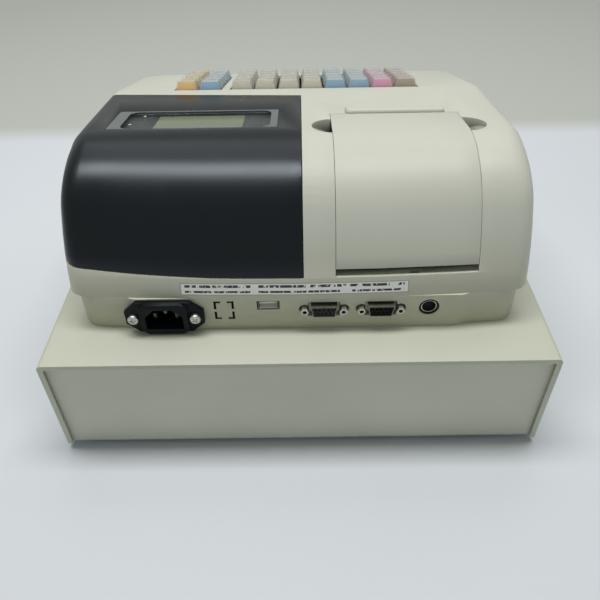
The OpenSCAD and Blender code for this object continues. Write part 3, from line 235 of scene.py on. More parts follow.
class Finish:  # one material and its shader nodes
    def __init__(self, name):
        self.material = bpy.data.materials.new(name)
        self.material.use_nodes = True
        self.tree = self.material.node_tree
        self.skin = self.tree.nodes["Principled BSDF"]
        self.place = self.node("ShaderNodeTexCoord", output="Object")

    def node(self, kind, settings=None, sockets=None, output=0):  # gives one of its outputs
        made = self.tree.nodes.new(kind)
        for name, value in (settings or {}).items():
            setattr(made, name, value)
        for name, value in (sockets or {}).items():
            self.plug(made.inputs[name], value)
        return Wire(self, made.outputs[output])

    def plug(self, socket, value):
        if isinstance(value, Wire):
            self.tree.links.new(value.socket, socket)
        else:
            socket.default_value = value

    def wear(self, sockets):  # fills the sockets of the skin and hands the material on
        for name, value in sockets.items():
            self.plug(self.skin.inputs[name], value)
        return self.material

    def metres(self):  # across, along and up
        split = self.node("ShaderNodeSeparateXYZ", None, {0: self.place}).socket.node
        return [Wire(self, socket) for socket in split.outputs]

    def millimetres(self):
        return [axis * 1000 for axis in self.metres()]

    def around(self, centre):  # millimetres from a centre
        return [axis - start for axis, start in zip(self.millimetres(), centre)]

    def stretched(self, scale):
        return self.node("ShaderNodeMapping", None, {"Vector": self.place, "Scale": scale})

    def noise(self, scale, detail, where=None, rough=0.5):
        return self.node("ShaderNodeTexNoise", None, {"Vector": where or self.place, "Scale": scale,
                                                      "Detail": detail, "Roughness": rough})

    def spread(self, value, low, high):  # stretches a narrow range to 0..1
        return self.node("ShaderNodeMapRange", None, {"Value": value, "From Min": low, "From Max": high})

    def clouds(self, scale):  # wide soft patches
        return self.spread(self.noise(scale, 3), 0.3, 0.7)

    def cells(self, scale, output=0):
        return self.node("ShaderNodeTexVoronoi", None, {"Vector": self.place, "Scale": scale}, output)

    def mix(self, mask, first, second):  # inputs 0, 6 and 7 are the factor and the two colours
        return self.node("ShaderNodeMix", {"data_type": "RGBA"}, {0: mask, 6: first, 7: second}, 2)

    def tones(self, mask, look):  # one colour between its dark and its light level
        return self.mix(mask, paint(*look["colour"], look["dark"]), paint(*look["colour"], look["light"]))

    def bump(self, height, look):
        return self.node("ShaderNodeBump", None, {"Height": height, "Distance": look["depth"] / 1000,
                                                  "Strength": look["relief"]})


# what the finishes of one kind share, and what a look may change
mouldedSet = dict(cloud=22, depth=0.03, relief=0.4, patchy=0.06, gloss=0.5, tint=(1, 1, 1, 1),
                  bounceFrom=88, bounceTo=150)
powderSet = dict(dark=0.965, light=1.03, cloud=14, patchy=0.1, speck=0.2, relief=0.5, gloss=0.45)
groundSet = dict(dark=0.85, light=1.05, streak=1500, drawn=0.04, patchy=0.25, depth=0.01, relief=0.4)
clearSet = dict(dark=0.95, light=1.0, haze=60, hazeRange=(0.35, 0.7), hazy=0.03, pebble=700, depth=0.002,
                relief=0.2)
woundSet = dict(steelDark=(168, 168, 166), steelLight=(204, 205, 205), wireDark=(95, 50, 22),
                wireLight=(196, 116, 62), enamel=0.15, streak=600, rough=0.34, patchy=0.08, depth=0.12,
                relief=0.7)


def mouldedFinish(name, look):  # plastic with its fine grain
    finish = Finish(name)
    look = dict(mouldedSet, dark=1 - look["drift"], light=1 + look["drift"], **look)
    cloud = finish.clouds(look["cloud"])
    grain = finish.noise(look["grain"], 2)
    skin = finish.tones(cloud, look)
    if "bounceTint" in look:  # painted yellow bounce light, yellower towards the foot
        up = finish.millimetres()[2]
        skin = finish.mix(finish.spread(up, look["bounceFrom"], look["bounceTo"]), paint(*look["bounceTint"]), skin)
    if "shade" in look:  # painted shade in cut-outs, dark where the mask falls
        skin = finish.mix(look["shade"](finish), skin, paint(*look["shadeColour"]))
    return finish.wear({
        "Base Color": skin,
        "Roughness": look["rough"] + (cloud - 0.5) * look["patchy"],
        "Normal": finish.bump(grain, look),
        "Specular IOR Level": look["gloss"],
        "Specular Tint": look["tint"]})


def powderFinish(name, look):  # powder coat with its orange peel
    finish = Finish(name)
    look = dict(powderSet, **look)
    peel = finish.noise(look["peel"], 2, rough=0.4)
    speck = finish.noise(look["peel"] * 3, 1)
    return finish.wear({
        "Base Color": finish.tones(finish.clouds(look["cloud"]), look),
        "Roughness": look["rough"] + (speck - 0.5) * look["patchy"],
        "Normal": finish.bump(peel + speck * look["speck"], look),
        "Specular IOR Level": look["gloss"]})


def platedFinish(name, look):  # zinc plate with its faint flowers
    finish = Finish(name)
    flower = finish.cells(look["flower"], output=1)
    tone = finish.node("ShaderNodeRGBToBW", None, {0: flower})
    streak = finish.noise(look["streak"], 2, finish.stretched((look["drawn"], 1, 1)))
    return finish.wear({
        "Base Color": finish.tones(tone, look),
        "Metallic": 1.0,
        "Roughness": look["rough"] + (tone - 0.5) * look["flowery"] + (streak - 0.5) * look["patchy"],
        "Normal": finish.bump(streak, look)})


def groundFinish(name, look):  # drawn or ground steel, streaks along one axis
    finish = Finish(name)
    look = dict(groundSet, **look)
    scale = [look["drawn"] if axis == look["along"] else 1 for axis in "xyz"]
    streak = finish.noise(look["streak"], 3, finish.stretched(scale))
    return finish.wear({
        "Base Color": finish.tones(streak, look),
        "Metallic": 1.0,
        "Roughness": look["rough"] + (streak - 0.5) * look["patchy"],
        "Normal": finish.bump(streak, look)})


def clearFinish(name, look):  # clear plastic with a little haze
    finish = Finish(name)
    look = dict(clearSet, **look)
    haze = finish.spread(finish.noise(look["haze"], 3), *look["hazeRange"])
    return finish.wear({
        "Base Color": finish.tones(haze, look),
        "Alpha": look["alpha"] + haze * look["hazy"],
        "Roughness": look["rough"] + haze * look["hazy"],
        "Normal": finish.bump(finish.noise(look["pebble"], 1), look)})


def glassFinish(name, look):  # the liquid crystal panel with its faint rows of character cells
    finish = Finish(name)
    across, along = finish.millimetres()[:2]
    column = (across * (1 / look["cellWide"])).fraction()
    row = (along * (1 / look["cellDeep"])).fraction()
    cell = (column > look["gapWide"]) * (row > look["gapDeep"])
    fade = finish.spread(along, look["nearY"], look["farY"])
    base = finish.mix(fade, paint(*look["near"]), paint(*look["far"]))
    return finish.wear({
        "Base Color": finish.mix(cell * look["cellInk"], base, paint(*look["cell"])),
        "Roughness": look["rough"] + finish.noise(look["mottle"], 2) * look["patchy"],
        "Coat Weight": look["coat"]})


def boardFinish(name, look):  # solder resist over copper tracks
    finish = Finish(name)
    across, along = finish.millimetres()[:2]
    region = finish.noise(look["region"], 1)
    lengthways = (across * (1 / look["pitch"])).fraction() < look["trackWide"]
    crossways = (along * (1 / look["pitch"])).fraction() < look["trackWide"]
    low, high = look["between"]
    track = lengthways * (region > high) + crossways * (region < low)
    pad = finish.cells(1000 / look["padPitch"]) < look["padSize"]
    resist = finish.mix(track, paint(*look["resist"]), paint(*look["track"]))
    return finish.wear({
        "Base Color": finish.mix(pad, resist, paint(*look["pad"])),
        "Metallic": pad * look["shine"],
        "Roughness": look["rough"] + track * look["patchy"],
        "Normal": finish.bump(track + pad, look)})


def paperFinish(name, look):  # wound thermal paper: its turns show on the ends
    finish = Finish(name)
    aside, forth, rise = finish.around(look["centre"])
    turn = ((forth * forth + rise * rise).power(0.5) * (1 / look["turn"])).fraction()
    end = aside.size() > look["half"] - look["endIn"]
    fibre = finish.noise(look["fibre"], 4)
    gaps = (turn < look["gap"]) * end * look["gapInk"]
    sheet = finish.mix(fibre, paint(*look["dark"]), paint(*look["light"]))
    return finish.wear({
        "Base Color": finish.mix(gaps, sheet, paint(*look["gapColour"])),
        "Roughness": look["rough"] + fibre * look["patchy"],
        "Normal": finish.bump(fibre + turn * end, look)})


def portFinish(name, look):  # plated shells round moulded inserts, one grey and one black
    finish = Finish(name)
    across, along, up = finish.millimetres()
    wide, high, apart = look["wide"], look["high"], look["apart"]
    rise = up - look["z"]
    first = across > look["x"]
    place = first * apart + (look["x"] - apart / 2)
    half = (rise - high / 2) * (look["taper"] / high) + wide / 2
    beside = ((across - place).size() > half) + (rise.size() > high / 2)
    metal = (beside > 0.5) * (along > look["plateY"])
    streak = finish.noise(look["streak"], 3)
    moulded = finish.mix(first, paint(*look["black"]), paint(*look["grey"]))
    shell = finish.mix(streak, paint(*look["dark"]), paint(*look["light"]))
    return finish.wear({
        "Base Color": finish.mix(metal, moulded, shell),
        "Metallic": metal,
        "Roughness": look["rough"] + streak * look["patchy"],
        "Normal": finish.bump(streak, look),
        "Specular IOR Level": look["gloss"]})


def usbFinish(name, look):  # steel shell round a pale tongue; the pale colour reaches past the tongue onto the shell's inner walls, painted light
    finish = Finish(name)
    across, up = finish.millimetres()[::2]
    tongueAndLitWalls = ((across - look["x"]).size() < look["wide"]) * ((up - look["z"]).size() < look["high"])
    streak = finish.noise(look["streak"], 3)
    shell = finish.mix(streak, paint(*look["dark"]), paint(*look["light"]))
    return finish.wear({
        "Base Color": finish.mix(tongueAndLitWalls, shell, paint(*look["tongueAndLitWalls"])),
        "Metallic": 1 - tongueAndLitWalls,
        "Roughness": look["rough"] + streak * look["patchy"],
        "Normal": finish.bump(streak, look)})


def woundFinish(name, look):  # enamelled copper turns on a plated steel frame
    finish = Finish(name)
    look = dict(woundSet, **look)
    along, up = finish.millimetres()[1:]
    wide, deep, high = look["half"]
    aside, forth, rise = finish.around(look["centre"])
    if look["turnsAlong"] == "y":
        inside = aside * aside + rise * rise < wide * wide
    else:
        inside = (aside.size() < wide) * (rise.size() < high)
    inside = inside * (forth.size() < deep)
    groove = ((along if look["turnsAlong"] == "y" else up) * (1 / look["wire"])).fraction()
    rounded = 1 - (groove - 0.5) * (groove - 0.5) * 4
    streak = finish.noise(look["streak"], 2)
    steel = finish.mix(streak, paint(*look["steelDark"]), paint(*look["steelLight"]))
    wire = finish.mix(rounded, paint(*look["wireDark"]), paint(*look["wireLight"]))
    return finish.wear({
        "Base Color": finish.mix(inside, steel, wire),
        "Metallic": 1 - inside * look["enamel"],
        "Roughness": look["rough"] + streak * look["patchy"],
        "Normal": finish.bump(rounded * inside, look)})


# where the finger cups take painted shade
cupSet = dict(x=centreOf["printer_cover"][0], apart=89.0, y=57.5, z=182.8, tilt=8.2, wide=13.6, half=14.7,
              reach=1.02, rim=0.4, deep=10)
# where the slot walls take painted shade
slotSet = dict(x=(41.3, 54.2), z=(93.0, 108.3), grow=0.15, y=(145.5, 147.5))


def cupShade(finish):  # painted shade in the deepest part of the finger cups
    across, along, up = finish.millimetres()
    lean = math.radians(cupSet["tilt"])
    forth, rise = along - cupSet["y"], up - cupSet["z"]
    level = rise * math.cos(lean) - forth * math.sin(lean)
    forth = (forth * math.cos(lean) + rise * math.sin(lean)) * (1 / cupSet["half"])
    inside = 0
    for side in (0.5, -0.5):
        aside = (across - (cupSet["x"] + side * cupSet["apart"])) * (1 / cupSet["wide"])
        inside = (aside * aside + forth * forth < cupSet["reach"]) + inside
    return (inside > 0.5) * finish.spread(level * -1, cupSet["rim"], cupSet["deep"])


def slotShade(finish):  # painted shade on the walls of the slots round the blank
    spans = (slotSet["x"], slotSet["y"], slotSet["z"])
    grow = (slotSet["grow"], 0, slotSet["grow"])
    mask = 1
    for axis, (low, high), more in zip(finish.millimetres(), spans, grow):
        mask = ((axis - (low + high) / 2).size() < (high - low) / 2 + more) * mask
    return mask


# ivory takes a yellow tint towards its foot: painted bounce light from the drawer top
ivoryLook = dict(colour=(204, 205, 191), rough=0.42, grain=2400, depth=0.028, relief=0.35, cloud=16,
                 drift=0.02, gloss=0.4, bounceTint=(204, 204, 180))
# cups and slots: a dark colour of painted shade in their hollows
cupLook = dict(ivoryLook, shade=cupShade, shadeColour=(84, 82, 70))
slotLook = dict(ivoryLook, shade=slotShade, shadeColour=(14, 14, 14))
charcoalLook = dict(colour=(2, 4, 8), rough=0.29, grain=3000, depth=0.02, relief=0.35, drift=0.15,
                    gloss=0.47, tint=(0.84, 0.94, 1, 1))
rubberLook = dict(colour=(24, 24, 24), rough=0.72, grain=1400, depth=0.06, relief=0.6, drift=0.2)
nylonLook = dict(colour=(232, 232, 226), rough=0.38, grain=1200, depth=0.02, drift=0.02)
tillLook = dict(colour=(66, 68, 70), rough=0.5, grain=1500, depth=0.05, relief=0.6, drift=0.1)
darkLook = dict(colour=(12, 14, 19), rough=0.42, grain=2200, drift=0.15, gloss=0.2, tint=(0.86, 0.94, 1, 1))
leverLook = dict(colour=(54, 142, 92), rough=0.38, grain=1800, depth=0.02, drift=0.06)
ivory = mouldedFinish("ivory_plastic_finish", ivoryLook)
cupIvory = mouldedFinish("ivory_cup_finish", cupLook)
slotIvory = mouldedFinish("ivory_slot_finish", slotLook)
charcoal = mouldedFinish("charcoal_plastic_finish", charcoalLook)
rubber = mouldedFinish("black_rubber_finish", rubberLook)
nylon = mouldedFinish("white_nylon_finish", nylonLook)
tillPlastic = mouldedFinish("till_plastic_finish", tillLook)
darkPlastic = mouldedFinish("dark_plastic_finish", darkLook)
leverPlastic = mouldedFinish("lever_plastic_finish", leverLook)

drawerLook = dict(colour=(200, 202, 184), peel=760, depth=0.06, rough=0.42)
panelLook = dict(colour=(218, 217, 199), peel=1100, depth=0.05, rough=0.5)
drawerPaint = powderFinish("drawer_paint_finish", drawerLook)
panelPaint = powderFinish("panel_paint_finish", panelLook)

zincLook = dict(colour=(214, 216, 216), dark=0.86, light=1.06, flower=130, flowery=0.12, streak=600,
                drawn=0.08, rough=0.34, patchy=0.1, depth=0.01, relief=0.35)
brightLook = dict(colour=(208, 209, 210), rough=0.26, along="x")
bladeLook = dict(colour=(112, 110, 106), rough=0.3, along="y")
zinc = platedFinish("zinc_steel_finish", zincLook)
bright = groundFinish("bright_steel_finish", brightLook)
blade = groundFinish("blade_steel_finish", bladeLook)

windowLook = dict(colour=(190, 198, 200), alpha=0.03, rough=0.05)
glassLook = dict(cellWide=3.2, cellDeep=5.6, gapWide=0.16, gapDeep=0.14, nearY=18, farY=52,
                 near=(126, 138, 103), far=(116, 126, 105), cell=(60, 70, 50), cellInk=0.07, mottle=300,
                 rough=0.16, patchy=0.08, coat=0.3)
boardLook = dict(region=55, between=(0.47, 0.53), pitch=1.27, trackWide=0.34, padPitch=5.08, padSize=0.16,
                 resist=(18, 84, 50), track=(34, 116, 66), pad=(190, 190, 180), shine=0.8, rough=0.32,
                 patchy=0.06, depth=0.04, relief=0.5)
paperLook = dict(centre=centreOf["paper_roll"], half=28.5, endIn=0.2, turn=0.55, gap=0.3, gapInk=0.35,
                 gapColour=(170, 170, 165), dark=(240, 240, 235), light=(252, 252, 249), fibre=900,
                 rough=0.72, patchy=0.1, depth=0.03, relief=0.4)
window = clearFinish("window_plastic_finish", windowLook)
lcdGlass = glassFinish("lcd_glass_finish", glassLook)
greenBoard = boardFinish("green_board_finish", boardLook)
paper = paperFinish("receipt_paper_finish", paperLook)

portLook = dict(x=centreOf["serial_ports"][0], apart=36.5, z=100.7, wide=15.9, high=7.4, taper=1.4,
                plateY=144.4, black=(8, 8, 10), grey=(50, 52, 56), dark=(124, 123, 116),
                light=(156, 154, 146), streak=500, rough=0.3, patchy=0.1, depth=0.01, relief=0.3, gloss=0.12)
# the pale area is the real tongue and, around it, painted light on the shell's inner walls
usbLook = dict(x=centreOf["usb_port"][0], z=103.9, wide=5.65, high=2.4, tongueAndLitWalls=(236, 236, 228),
               dark=(120, 120, 116), light=(150, 149, 144), streak=700, rough=0.36, patchy=0.1, depth=0.01,
               relief=0.3)
coilLook = dict(centre=(-6, 144, 29.5), half=(10.6, 10.4, 10.6), turnsAlong="y", wire=0.5)
coreLook = dict(centre=(*centreOf["transformer"][:2], 107.8), half=(15.95, 19.1, 11.9), turnsAlong="z",
                wire=0.6)
port = portFinish("serial_port_finish", portLook)
usbSkin = usbFinish("usb_port_finish", usbLook)
coilSkin = woundFinish("solenoid_finish", coilLook)
coreSkin = woundFinish("transformer_finish", coreLook)
print("finishes ready")

# frame nodes that keep their own shape
keptFinishes = {
    coilSkin: ["solenoid"],
    coreSkin: ["transformer"],
    zinc: ["guide_rails", "latch_lever", "printer_frame", "thermal_head", "tear_bar",
           "serial_jackscrews", "screws"],
    blade: ["inlet_pins"],
    bright: ["clip_rod", "lock_cam", "solenoid_plunger", "kick_spring", "stepper_motor"],
    nylon: ["rail_rollers", "tray_rollers", "platen_gear", "motor_pinion"],
    port: ["serial_ports"],
    darkPlastic: ["drawer_socket", "key_frame", "paper_bay"],
    rubber: ["platen_roller", "rubber_feet"],
    greenBoard: ["main_board", "key_board", "lcd_module"],
    tillPlastic: ["roll_spindle"],
    window: ["display_window"],
    paper: ["paper_roll"]}
for finish, names in keptFinishes.items():
    for name in names:
        for slot in nodes[name].material_slots:
            slot.material = finish

# frame nodes redrawn with broken edges: width, least angle, finish and slot
softSkins = [
    ("upper_case", 0.45, 48, cupIvory, "ivory_plastic"),
    ("lower_case", 0.35, 48, slotIvory, "ivory_plastic"),
    ("printer_cover", 0.4, 48, ivory, "ivory_plastic"),
    ("display_cover", 0.4, 48, charcoal, "charcoal_plastic"),
    ("drawer_cover", 0.35, 48, drawerPaint, "drawer_paint"),
    ("drawer_front", 0.6, 30, drawerPaint, "drawer_paint"),
    ("drawer_rear_panel", 0.3, 48, panelPaint, "panel_paint"),
    ("drawer_base", 0.25, 48, zinc, "zinc_steel"), ("drawer_tray", 0.25, 48, zinc, "zinc_steel"),
    ("lock_body", 0.3, 48, bright, "bright_steel"), ("till_insert", 0.5, 48, tillPlastic, "till_plastic"),
    ("inlet_housing", 0.35, 40, darkPlastic, "dark_plastic"), ("usb_port", 0.12, 48, usbSkin, "zinc_steel"),
    ("head_lever", 0.3, 48, leverPlastic, "lever_plastic")]
softSkins += [(f"bill_clip_{number}", 0.3, 48, darkPlastic, "dark_plastic") for number in range(1, 5)]
for name, width, angle, finish, slot in softSkins:
    placed(softened(name, width, angle), finish, bodyOf[name], [name])
print("edges broken on", len(softSkins), "nodes")

exitSet = dict(tilt=10, round=2.2, steps=8, topIn=0.05, frontIn=0.5, smooth=50)


def exitRidge():  # the paper exit, its top edges rounded behind the paper slot
    piece = softened("paper_exit")
    lean = math.radians(exitSet["tilt"])

    def height(place):  # above the sloping top of the case
        return place.z * math.cos(lean) - place.y * math.sin(lean)

    points = [point.co for point in piece.data.vertices]
    top = max(height(point) for point in points) - exitSet["topIn"] / 1000
    front = min(point.y for point in points if height(point) > top) + exitSet["frontIn"] / 1000
    pick(piece, lambda middle, way: height(middle) > top and middle.y > front, "EDGE")
    bpy.ops.mesh.bevel(offset=exitSet["round"] / 1000, segments=exitSet["steps"], affect="EDGES",
                       clamp_overlap=False)
    bpy.ops.object.mode_set(mode="OBJECT")
    return done(piece, exitSet["smooth"])


placed(exitRidge(), ivory, bodyOf["paper_exit"], ["paper_exit"])

# keys: a coloured insert under a clear cap, with straight skirts below the deck
keySet = dict(foot=17.5, top=14.0, height=7.2, skirt=3.0, dish=((1.3, 0), (1.2, -0.35)), soft=(0.7, 3, 12),
              pitch=19.05, rows=5, firstRow=1.5, deckPlace=(0, -46.0, 164.85), deckTilt=16,
              topFacing=0.75, rearFacing=0.6)
insertSet = dict(foot=16.2, top=13.0, height=5.7, skirt=2.8, rim=((0.9, 0), (0.2, -0.2)), soft=(0.3, 2, 20),
                 stem=7.0, stemZ=(-13.2, -2.7), stemSoft=(0.4, 2, 30), fleck=700, dark=0.94, light=1.04,
                 rough=0.5, patchy=0.1, depth=0.02, relief=0.3)
capLook = dict(colour=(222, 221, 214), alpha=0.24, rough=0.3)
keyColours = {"key_brown": (158, 132, 106), "key_pink": (226, 140, 182), "key_blue": (108, 166, 204),
              "key_beige": (206, 198, 178), "key_orange": (240, 186, 90)}
# tops paled towards grey: painted sheen of the clear caps seen at a low angle
keyTopSheens = {"key_brown": (182, 168, 162), "key_pink": (198, 172, 184), "key_blue": (172, 186, 192),
           "key_beige": (194, 190, 176), "key_orange": (206, 190, 158)}
columnSlots = ["key_brown", "key_pink", "key_blue", "key_blue", "key_beige",
               "key_beige", "key_beige", "key_beige", "key_blue", "key_orange"]


def tapered(name, sizes):  # a straight skirt and the four-sided key shape on it
    half, scale = sizes["foot"] / 2, sizes["top"] / sizes["foot"]
    piece = block(name, (-half, half), (-half, half), (-sizes["skirt"], 0))
    pick(piece, lambda centre, normal: normal.z > 0.9)
    bpy.ops.mesh.extrude_region_move(TRANSFORM_OT_translate={"value": mm(0, 0, sizes["height"])})
    bpy.ops.transform.resize(value=(scale, scale, 1))
    bpy.ops.object.mode_set(mode="OBJECT")
    return piece


def keyShape():  # one cap, and one insert on its stem
    cap = tapered("key_cap", keySet)
    insetTop(cap, keySet["dish"])
    bevelled(cap, *keySet["soft"])
    insert = tapered("key_insert", insertSet)
    insetTop(insert, insertSet["rim"])
    bevelled(insert, *insertSet["soft"])
    half = insertSet["stem"] / 2
    stem = block("key_stem", (-half, half), (-half, half), insertSet["stemZ"])
    bevelled(stem, *insertSet["stemSoft"])
    return cap, joined("key_insert", [insert, stem])


def insertFinish(name, colour):  # matt plastic in the key's colour
    finish = Finish(name + "_finish")
    look = dict(insertSet, colour=colour)
    fleck = finish.noise(look["fleck"], 3)
    return finish.wear({
        "Base Color": finish.tones(fleck, look),
        "Roughness": look["rough"] + fleck * look["patchy"],
        "Normal": finish.bump(fleck, look)})


capClear = clearFinish("key_cap_clear", capLook)
deckTurn = Matrix.Rotation(math.radians(keySet["deckTilt"]), 4, "X")
deck = Matrix.Translation(mm(*keySet["deckPlace"])) @ deckTurn
cap, insert = keyShape()
insertFinishes = {}  # rear of the first row in its own colour, top paled towards grey as painted sheen, all other skirts half paled as painted sheen
for slot, colour in keyColours.items():
    halfSheen = [(a + 2 * b) / 3 for a, b in zip(colour, keyTopSheens[slot])]
    insertFinishes[slot] = [insertFinish(slot, colour), insertFinish(slot + "_top", keyTopSheens[slot]),
                            insertFinish(slot + "_half_sheen", halfSheen)]


def tinted(piece):  # top and skirt faces take the paler copies, painted sheen
    inward = deck.inverted()
    firstRowEnd = keySet["firstRow"] + keySet["pitch"]
    for face in piece.data.polygons:
        way = inward.to_3x3() @ face.normal
        if way.z > keySet["topFacing"]:
            face.material_index = 1
        elif way.y < keySet["rearFacing"] or (inward @ face.center).y * -1000 > firstRowEnd:
            face.material_index = 2


for number, slot in enumerate(columnSlots, 1):
    x = centreOf[f"key_column_{number}"][0]
    rows = [Matrix.Translation(mm(x, -keySet["firstRow"] - (row + 0.5) * keySet["pitch"], 0))
            for row in range(keySet["rows"])]
    inserts = joined(f"key_inserts_{number}", [copied(insert, "insert", deck @ row) for row in rows])
    caps = joined(f"key_caps_{number}", [copied(cap, "cap", deck @ row) for row in rows])
    tinted(placed(done(inserts), insertFinishes[slot], f"keys_{number}", [f"key_column_{number}"]))
    placed(done(caps), capClear, f"keys_{number}")
for spare in (cap, insert):
    bpy.data.objects.remove(spare)
print("keys:", len(columnSlots) * keySet["rows"])

# display: dark printed panel, glass and lamp under the window, heights from the window's top
displaySet = dict(x=centreOf["display_window"][0], u=111.8, caseY=149.0, topZ=84.4, tilt=10,
                  crestU=84.7, crestH=99.9, frame=(57.05, 21.65), frameZ=(-0.1, -0.03),
                  openX=(-52.0, 48.7), openY=(-19.4, 21.3), openZ=(-2, 2), corner=6.5, cornerSteps=8,
                  panel=(53.8, 18.4), panelZ=(-3.12, -3.04), panelRim=((0.6, -0.02),),
                  glassX=(-32.9, 28.1), glassDeep=36.4, glassZ=(-3.06, -3.015), glassRim=((0.8, 0),),
                  lampPlace=(46.0, 0.5, -3.02), lampRadius=1.1, lampHigh=0.3, lampSides=24,
                  lampSoft=(0.1, 2, 40))
marginLook = dict(colour=(104, 111, 109), rough=0.3, grain=1800, drift=0.06)
lampLook = dict(colour=(226, 228, 224), rough=0.25, grain=900, drift=0.02)
backLook = dict(dark=(14, 17, 17), light=(52, 58, 55), mottle=420, mottleRange=(0.38, 0.62), clear=33,
                rough=0.42, patchy=0.1, depth=0.06, relief=0.6)
slope = math.radians(displaySet["tilt"])
rise = displaySet["crestH"] - (displaySet["u"] - displaySet["crestU"]) * math.tan(slope)
windowPlace = (displaySet["x"], displaySet["caseY"] - displaySet["u"], displaySet["topZ"] + rise)
onTop = Matrix.Translation(mm(*windowPlace)) @ Matrix.Rotation(slope, 4, "X")


def windowParts():  # printed margin, back panel, glass and lamp, laid on the sloping top
    wide, deep = displaySet["frame"]
    margin = block("window_margin", (-wide, wide), (-deep, deep), displaySet["frameZ"])
    hole = block("hole", displaySet["openX"], displaySet["openY"], displaySet["openZ"])
    pick(hole, lambda centre, way: abs(way.z) > 0.9, "EDGE")
    bpy.ops.mesh.bevel(offset=displaySet["corner"] / 1000, segments=displaySet["cornerSteps"], affect="EDGES")
    bpy.ops.object.mode_set(mode="OBJECT")
    cut(margin, hole)
    wide, deep = displaySet["panel"]
    panel = block("window_panel", (-wide, wide), (-deep, deep), displaySet["panelZ"])
    insetTop(panel, displaySet["panelRim"])
    deep = displaySet["glassDeep"] / 2
    glass = block("lcd_glass", displaySet["glassX"], (-deep, deep), displaySet["glassZ"])
    insetTop(glass, displaySet["glassRim"])
    lamp = drum("power_lamp", displaySet["lampPlace"], displaySet["lampRadius"], displaySet["lampHigh"],
                sides=displaySet["lampSides"])
    bevelled(lamp, *displaySet["lampSoft"])
    for piece in (margin, panel, glass, lamp):
        piece.data.transform(onTop)
        done(piece)
    return margin, panel, glass, lamp


def backFinish(name, look):  # mottled print beside the glass
    finish = Finish(name)
    across = finish.millimetres()[0]
    mottle = finish.spread(finish.noise(look["mottle"], 4), *look["mottleRange"])
    end = (across - displaySet["x"]).size() > look["clear"]
    return finish.wear({
        "Base Color": finish.mix(mottle * end, paint(*look["dark"]), paint(*look["light"])),
        "Roughness": look["rough"] - mottle * look["patchy"],
        "Normal": finish.bump(mottle * end, look)})


margin, panel, glass, lamp = windowParts()
placed(margin, mouldedFinish("window_margin_finish", marginLook), "register")
placed(panel, backFinish("window_panel_finish", backLook), "register")
placed(glass, lcdGlass, "register")
placed(lamp, mouldedFinish("power_lamp_finish", lampLook), "register")
print("display window filled")

# label: a strip under the covers, its print can't be read
# the edge colour is painted shade of the pocket round the label
labelSet = dict(left=74.0, right=-69.6, low=113.5, high=121.4, thick=0.18, lift=0.04, grid=(60, 8),
                behind=160, border=0.5, edge=(96, 96, 88), edgeShadeLevel=0.7, lines=((1.8, 0.85), (-1.8, 0.7)),
                inkHalf=69, ink=(52, 54, 56), tick=420, tickRough=0.7, tickLevel=0.45, word=70,
                wordLevel=0.4, drawn=0.02, fleck=900, dark=(240, 240, 232), light=(250, 250, 244),
                rough=0.45, patchy=0.08, depth=0.01, relief=0.3)
labelX = (labelSet["left"] + labelSet["right"]) / 2
labelZ = (labelSet["low"] + labelSet["high"]) / 2
labelWide = labelSet["left"] - labelSet["right"]
labelHigh = labelSet["high"] - labelSet["low"]


def labelFinish(name, look):  # a border of painted shade along the pocket's edge, and two lines of uneven ticks
    finish = Finish(name)
    across, up = finish.millimetres()[::2]
    aside, rise = (across - labelX).size(), up - labelZ
    lines = 0
    for middle, half in look["lines"]:
        lines = ((rise - middle).size() < half) + lines
    edge = (aside > labelWide / 2 - look["border"]) + (rise.size() > labelHigh / 2 - look["border"]) > 0.5
    drawn = finish.stretched((1, 1, look["drawn"]))
    tick = finish.noise(look["tick"], 3, drawn, look["tickRough"]) > look["tickLevel"]
    word = finish.noise(look["word"], 1, drawn) > look["wordLevel"]
    ink = lines * tick * word * (aside < look["inkHalf"])
    fleck = finish.noise(look["fleck"], 2)
    sheet = finish.mix(fleck, paint(*look["dark"]), paint(*look["light"]))
    printed = finish.mix(ink, sheet, paint(*look["ink"]))
    return finish.wear({
        "Base Color": finish.mix(edge * look["edgeShadeLevel"], printed, paint(*look["edge"])),
        "Roughness": look["rough"] + fleck * look["patchy"],
        "Normal": finish.bump(fleck, look)})


def labelStrip():  # a flat grid pressed onto the rear wall and thickened
    letGo()
    columns, rows = labelSet["grid"]
    bpy.ops.mesh.primitive_grid_add(x_subdivisions=columns, y_subdivisions=rows, size=1,
                                    location=mm(labelX, labelSet["behind"], labelZ),
                                    rotation=(math.pi / 2, 0, 0))
    strip = bpy.context.object
    strip.name = "rear_label"
    strip.scale = (labelWide / 1000, labelHigh / 1000, 1)
    bpy.ops.object.transform_apply(location=True, rotation=True, scale=True)
    applied(strip, "SHRINKWRAP", target=bpy.data.objects["upper_case_shape"], wrap_method="PROJECT",
            use_project_y=True, use_negative_direction=True, use_positive_direction=True,
            offset=labelSet["lift"] / 1000)
    applied(strip, "SOLIDIFY", thickness=-labelSet["thick"] / 1000, offset=-1)
    focus(strip)
    bpy.ops.object.mode_set(mode="EDIT")
    bpy.ops.mesh.select_all(action="SELECT")
    bpy.ops.mesh.normals_make_consistent(inside=False)
    bpy.ops.object.mode_set(mode="OBJECT")
    return done(strip)


placed(labelStrip(), labelFinish("label_finish", labelSet), "register")
print("label strip laid")

# connectors: screw heads on the inlet, sleeve and core in the round socket
headSet = dict(pitch=40.0, y=(150.7, 154.05), radius=3.55, sides=40, soft=(1.1, 5, 50), turns=(35, 10),
               cross=(4.2, 1.5, 0.9), smooth=50)
socketSet = dict(x=centreOf["drawer_socket"][0], z=101.0, outer=5.08, inner=4.5, sleeveY=(139.2, 147.0),
                 floor=0.4, core=4.3, coreY=(139.2, 144.6), coreOut=0.3, holes=(0, 45, 90, 135, 180, 270),
                 holeRing=2.7, holeRadius=0.6, holeLong=4, holeSides=12)


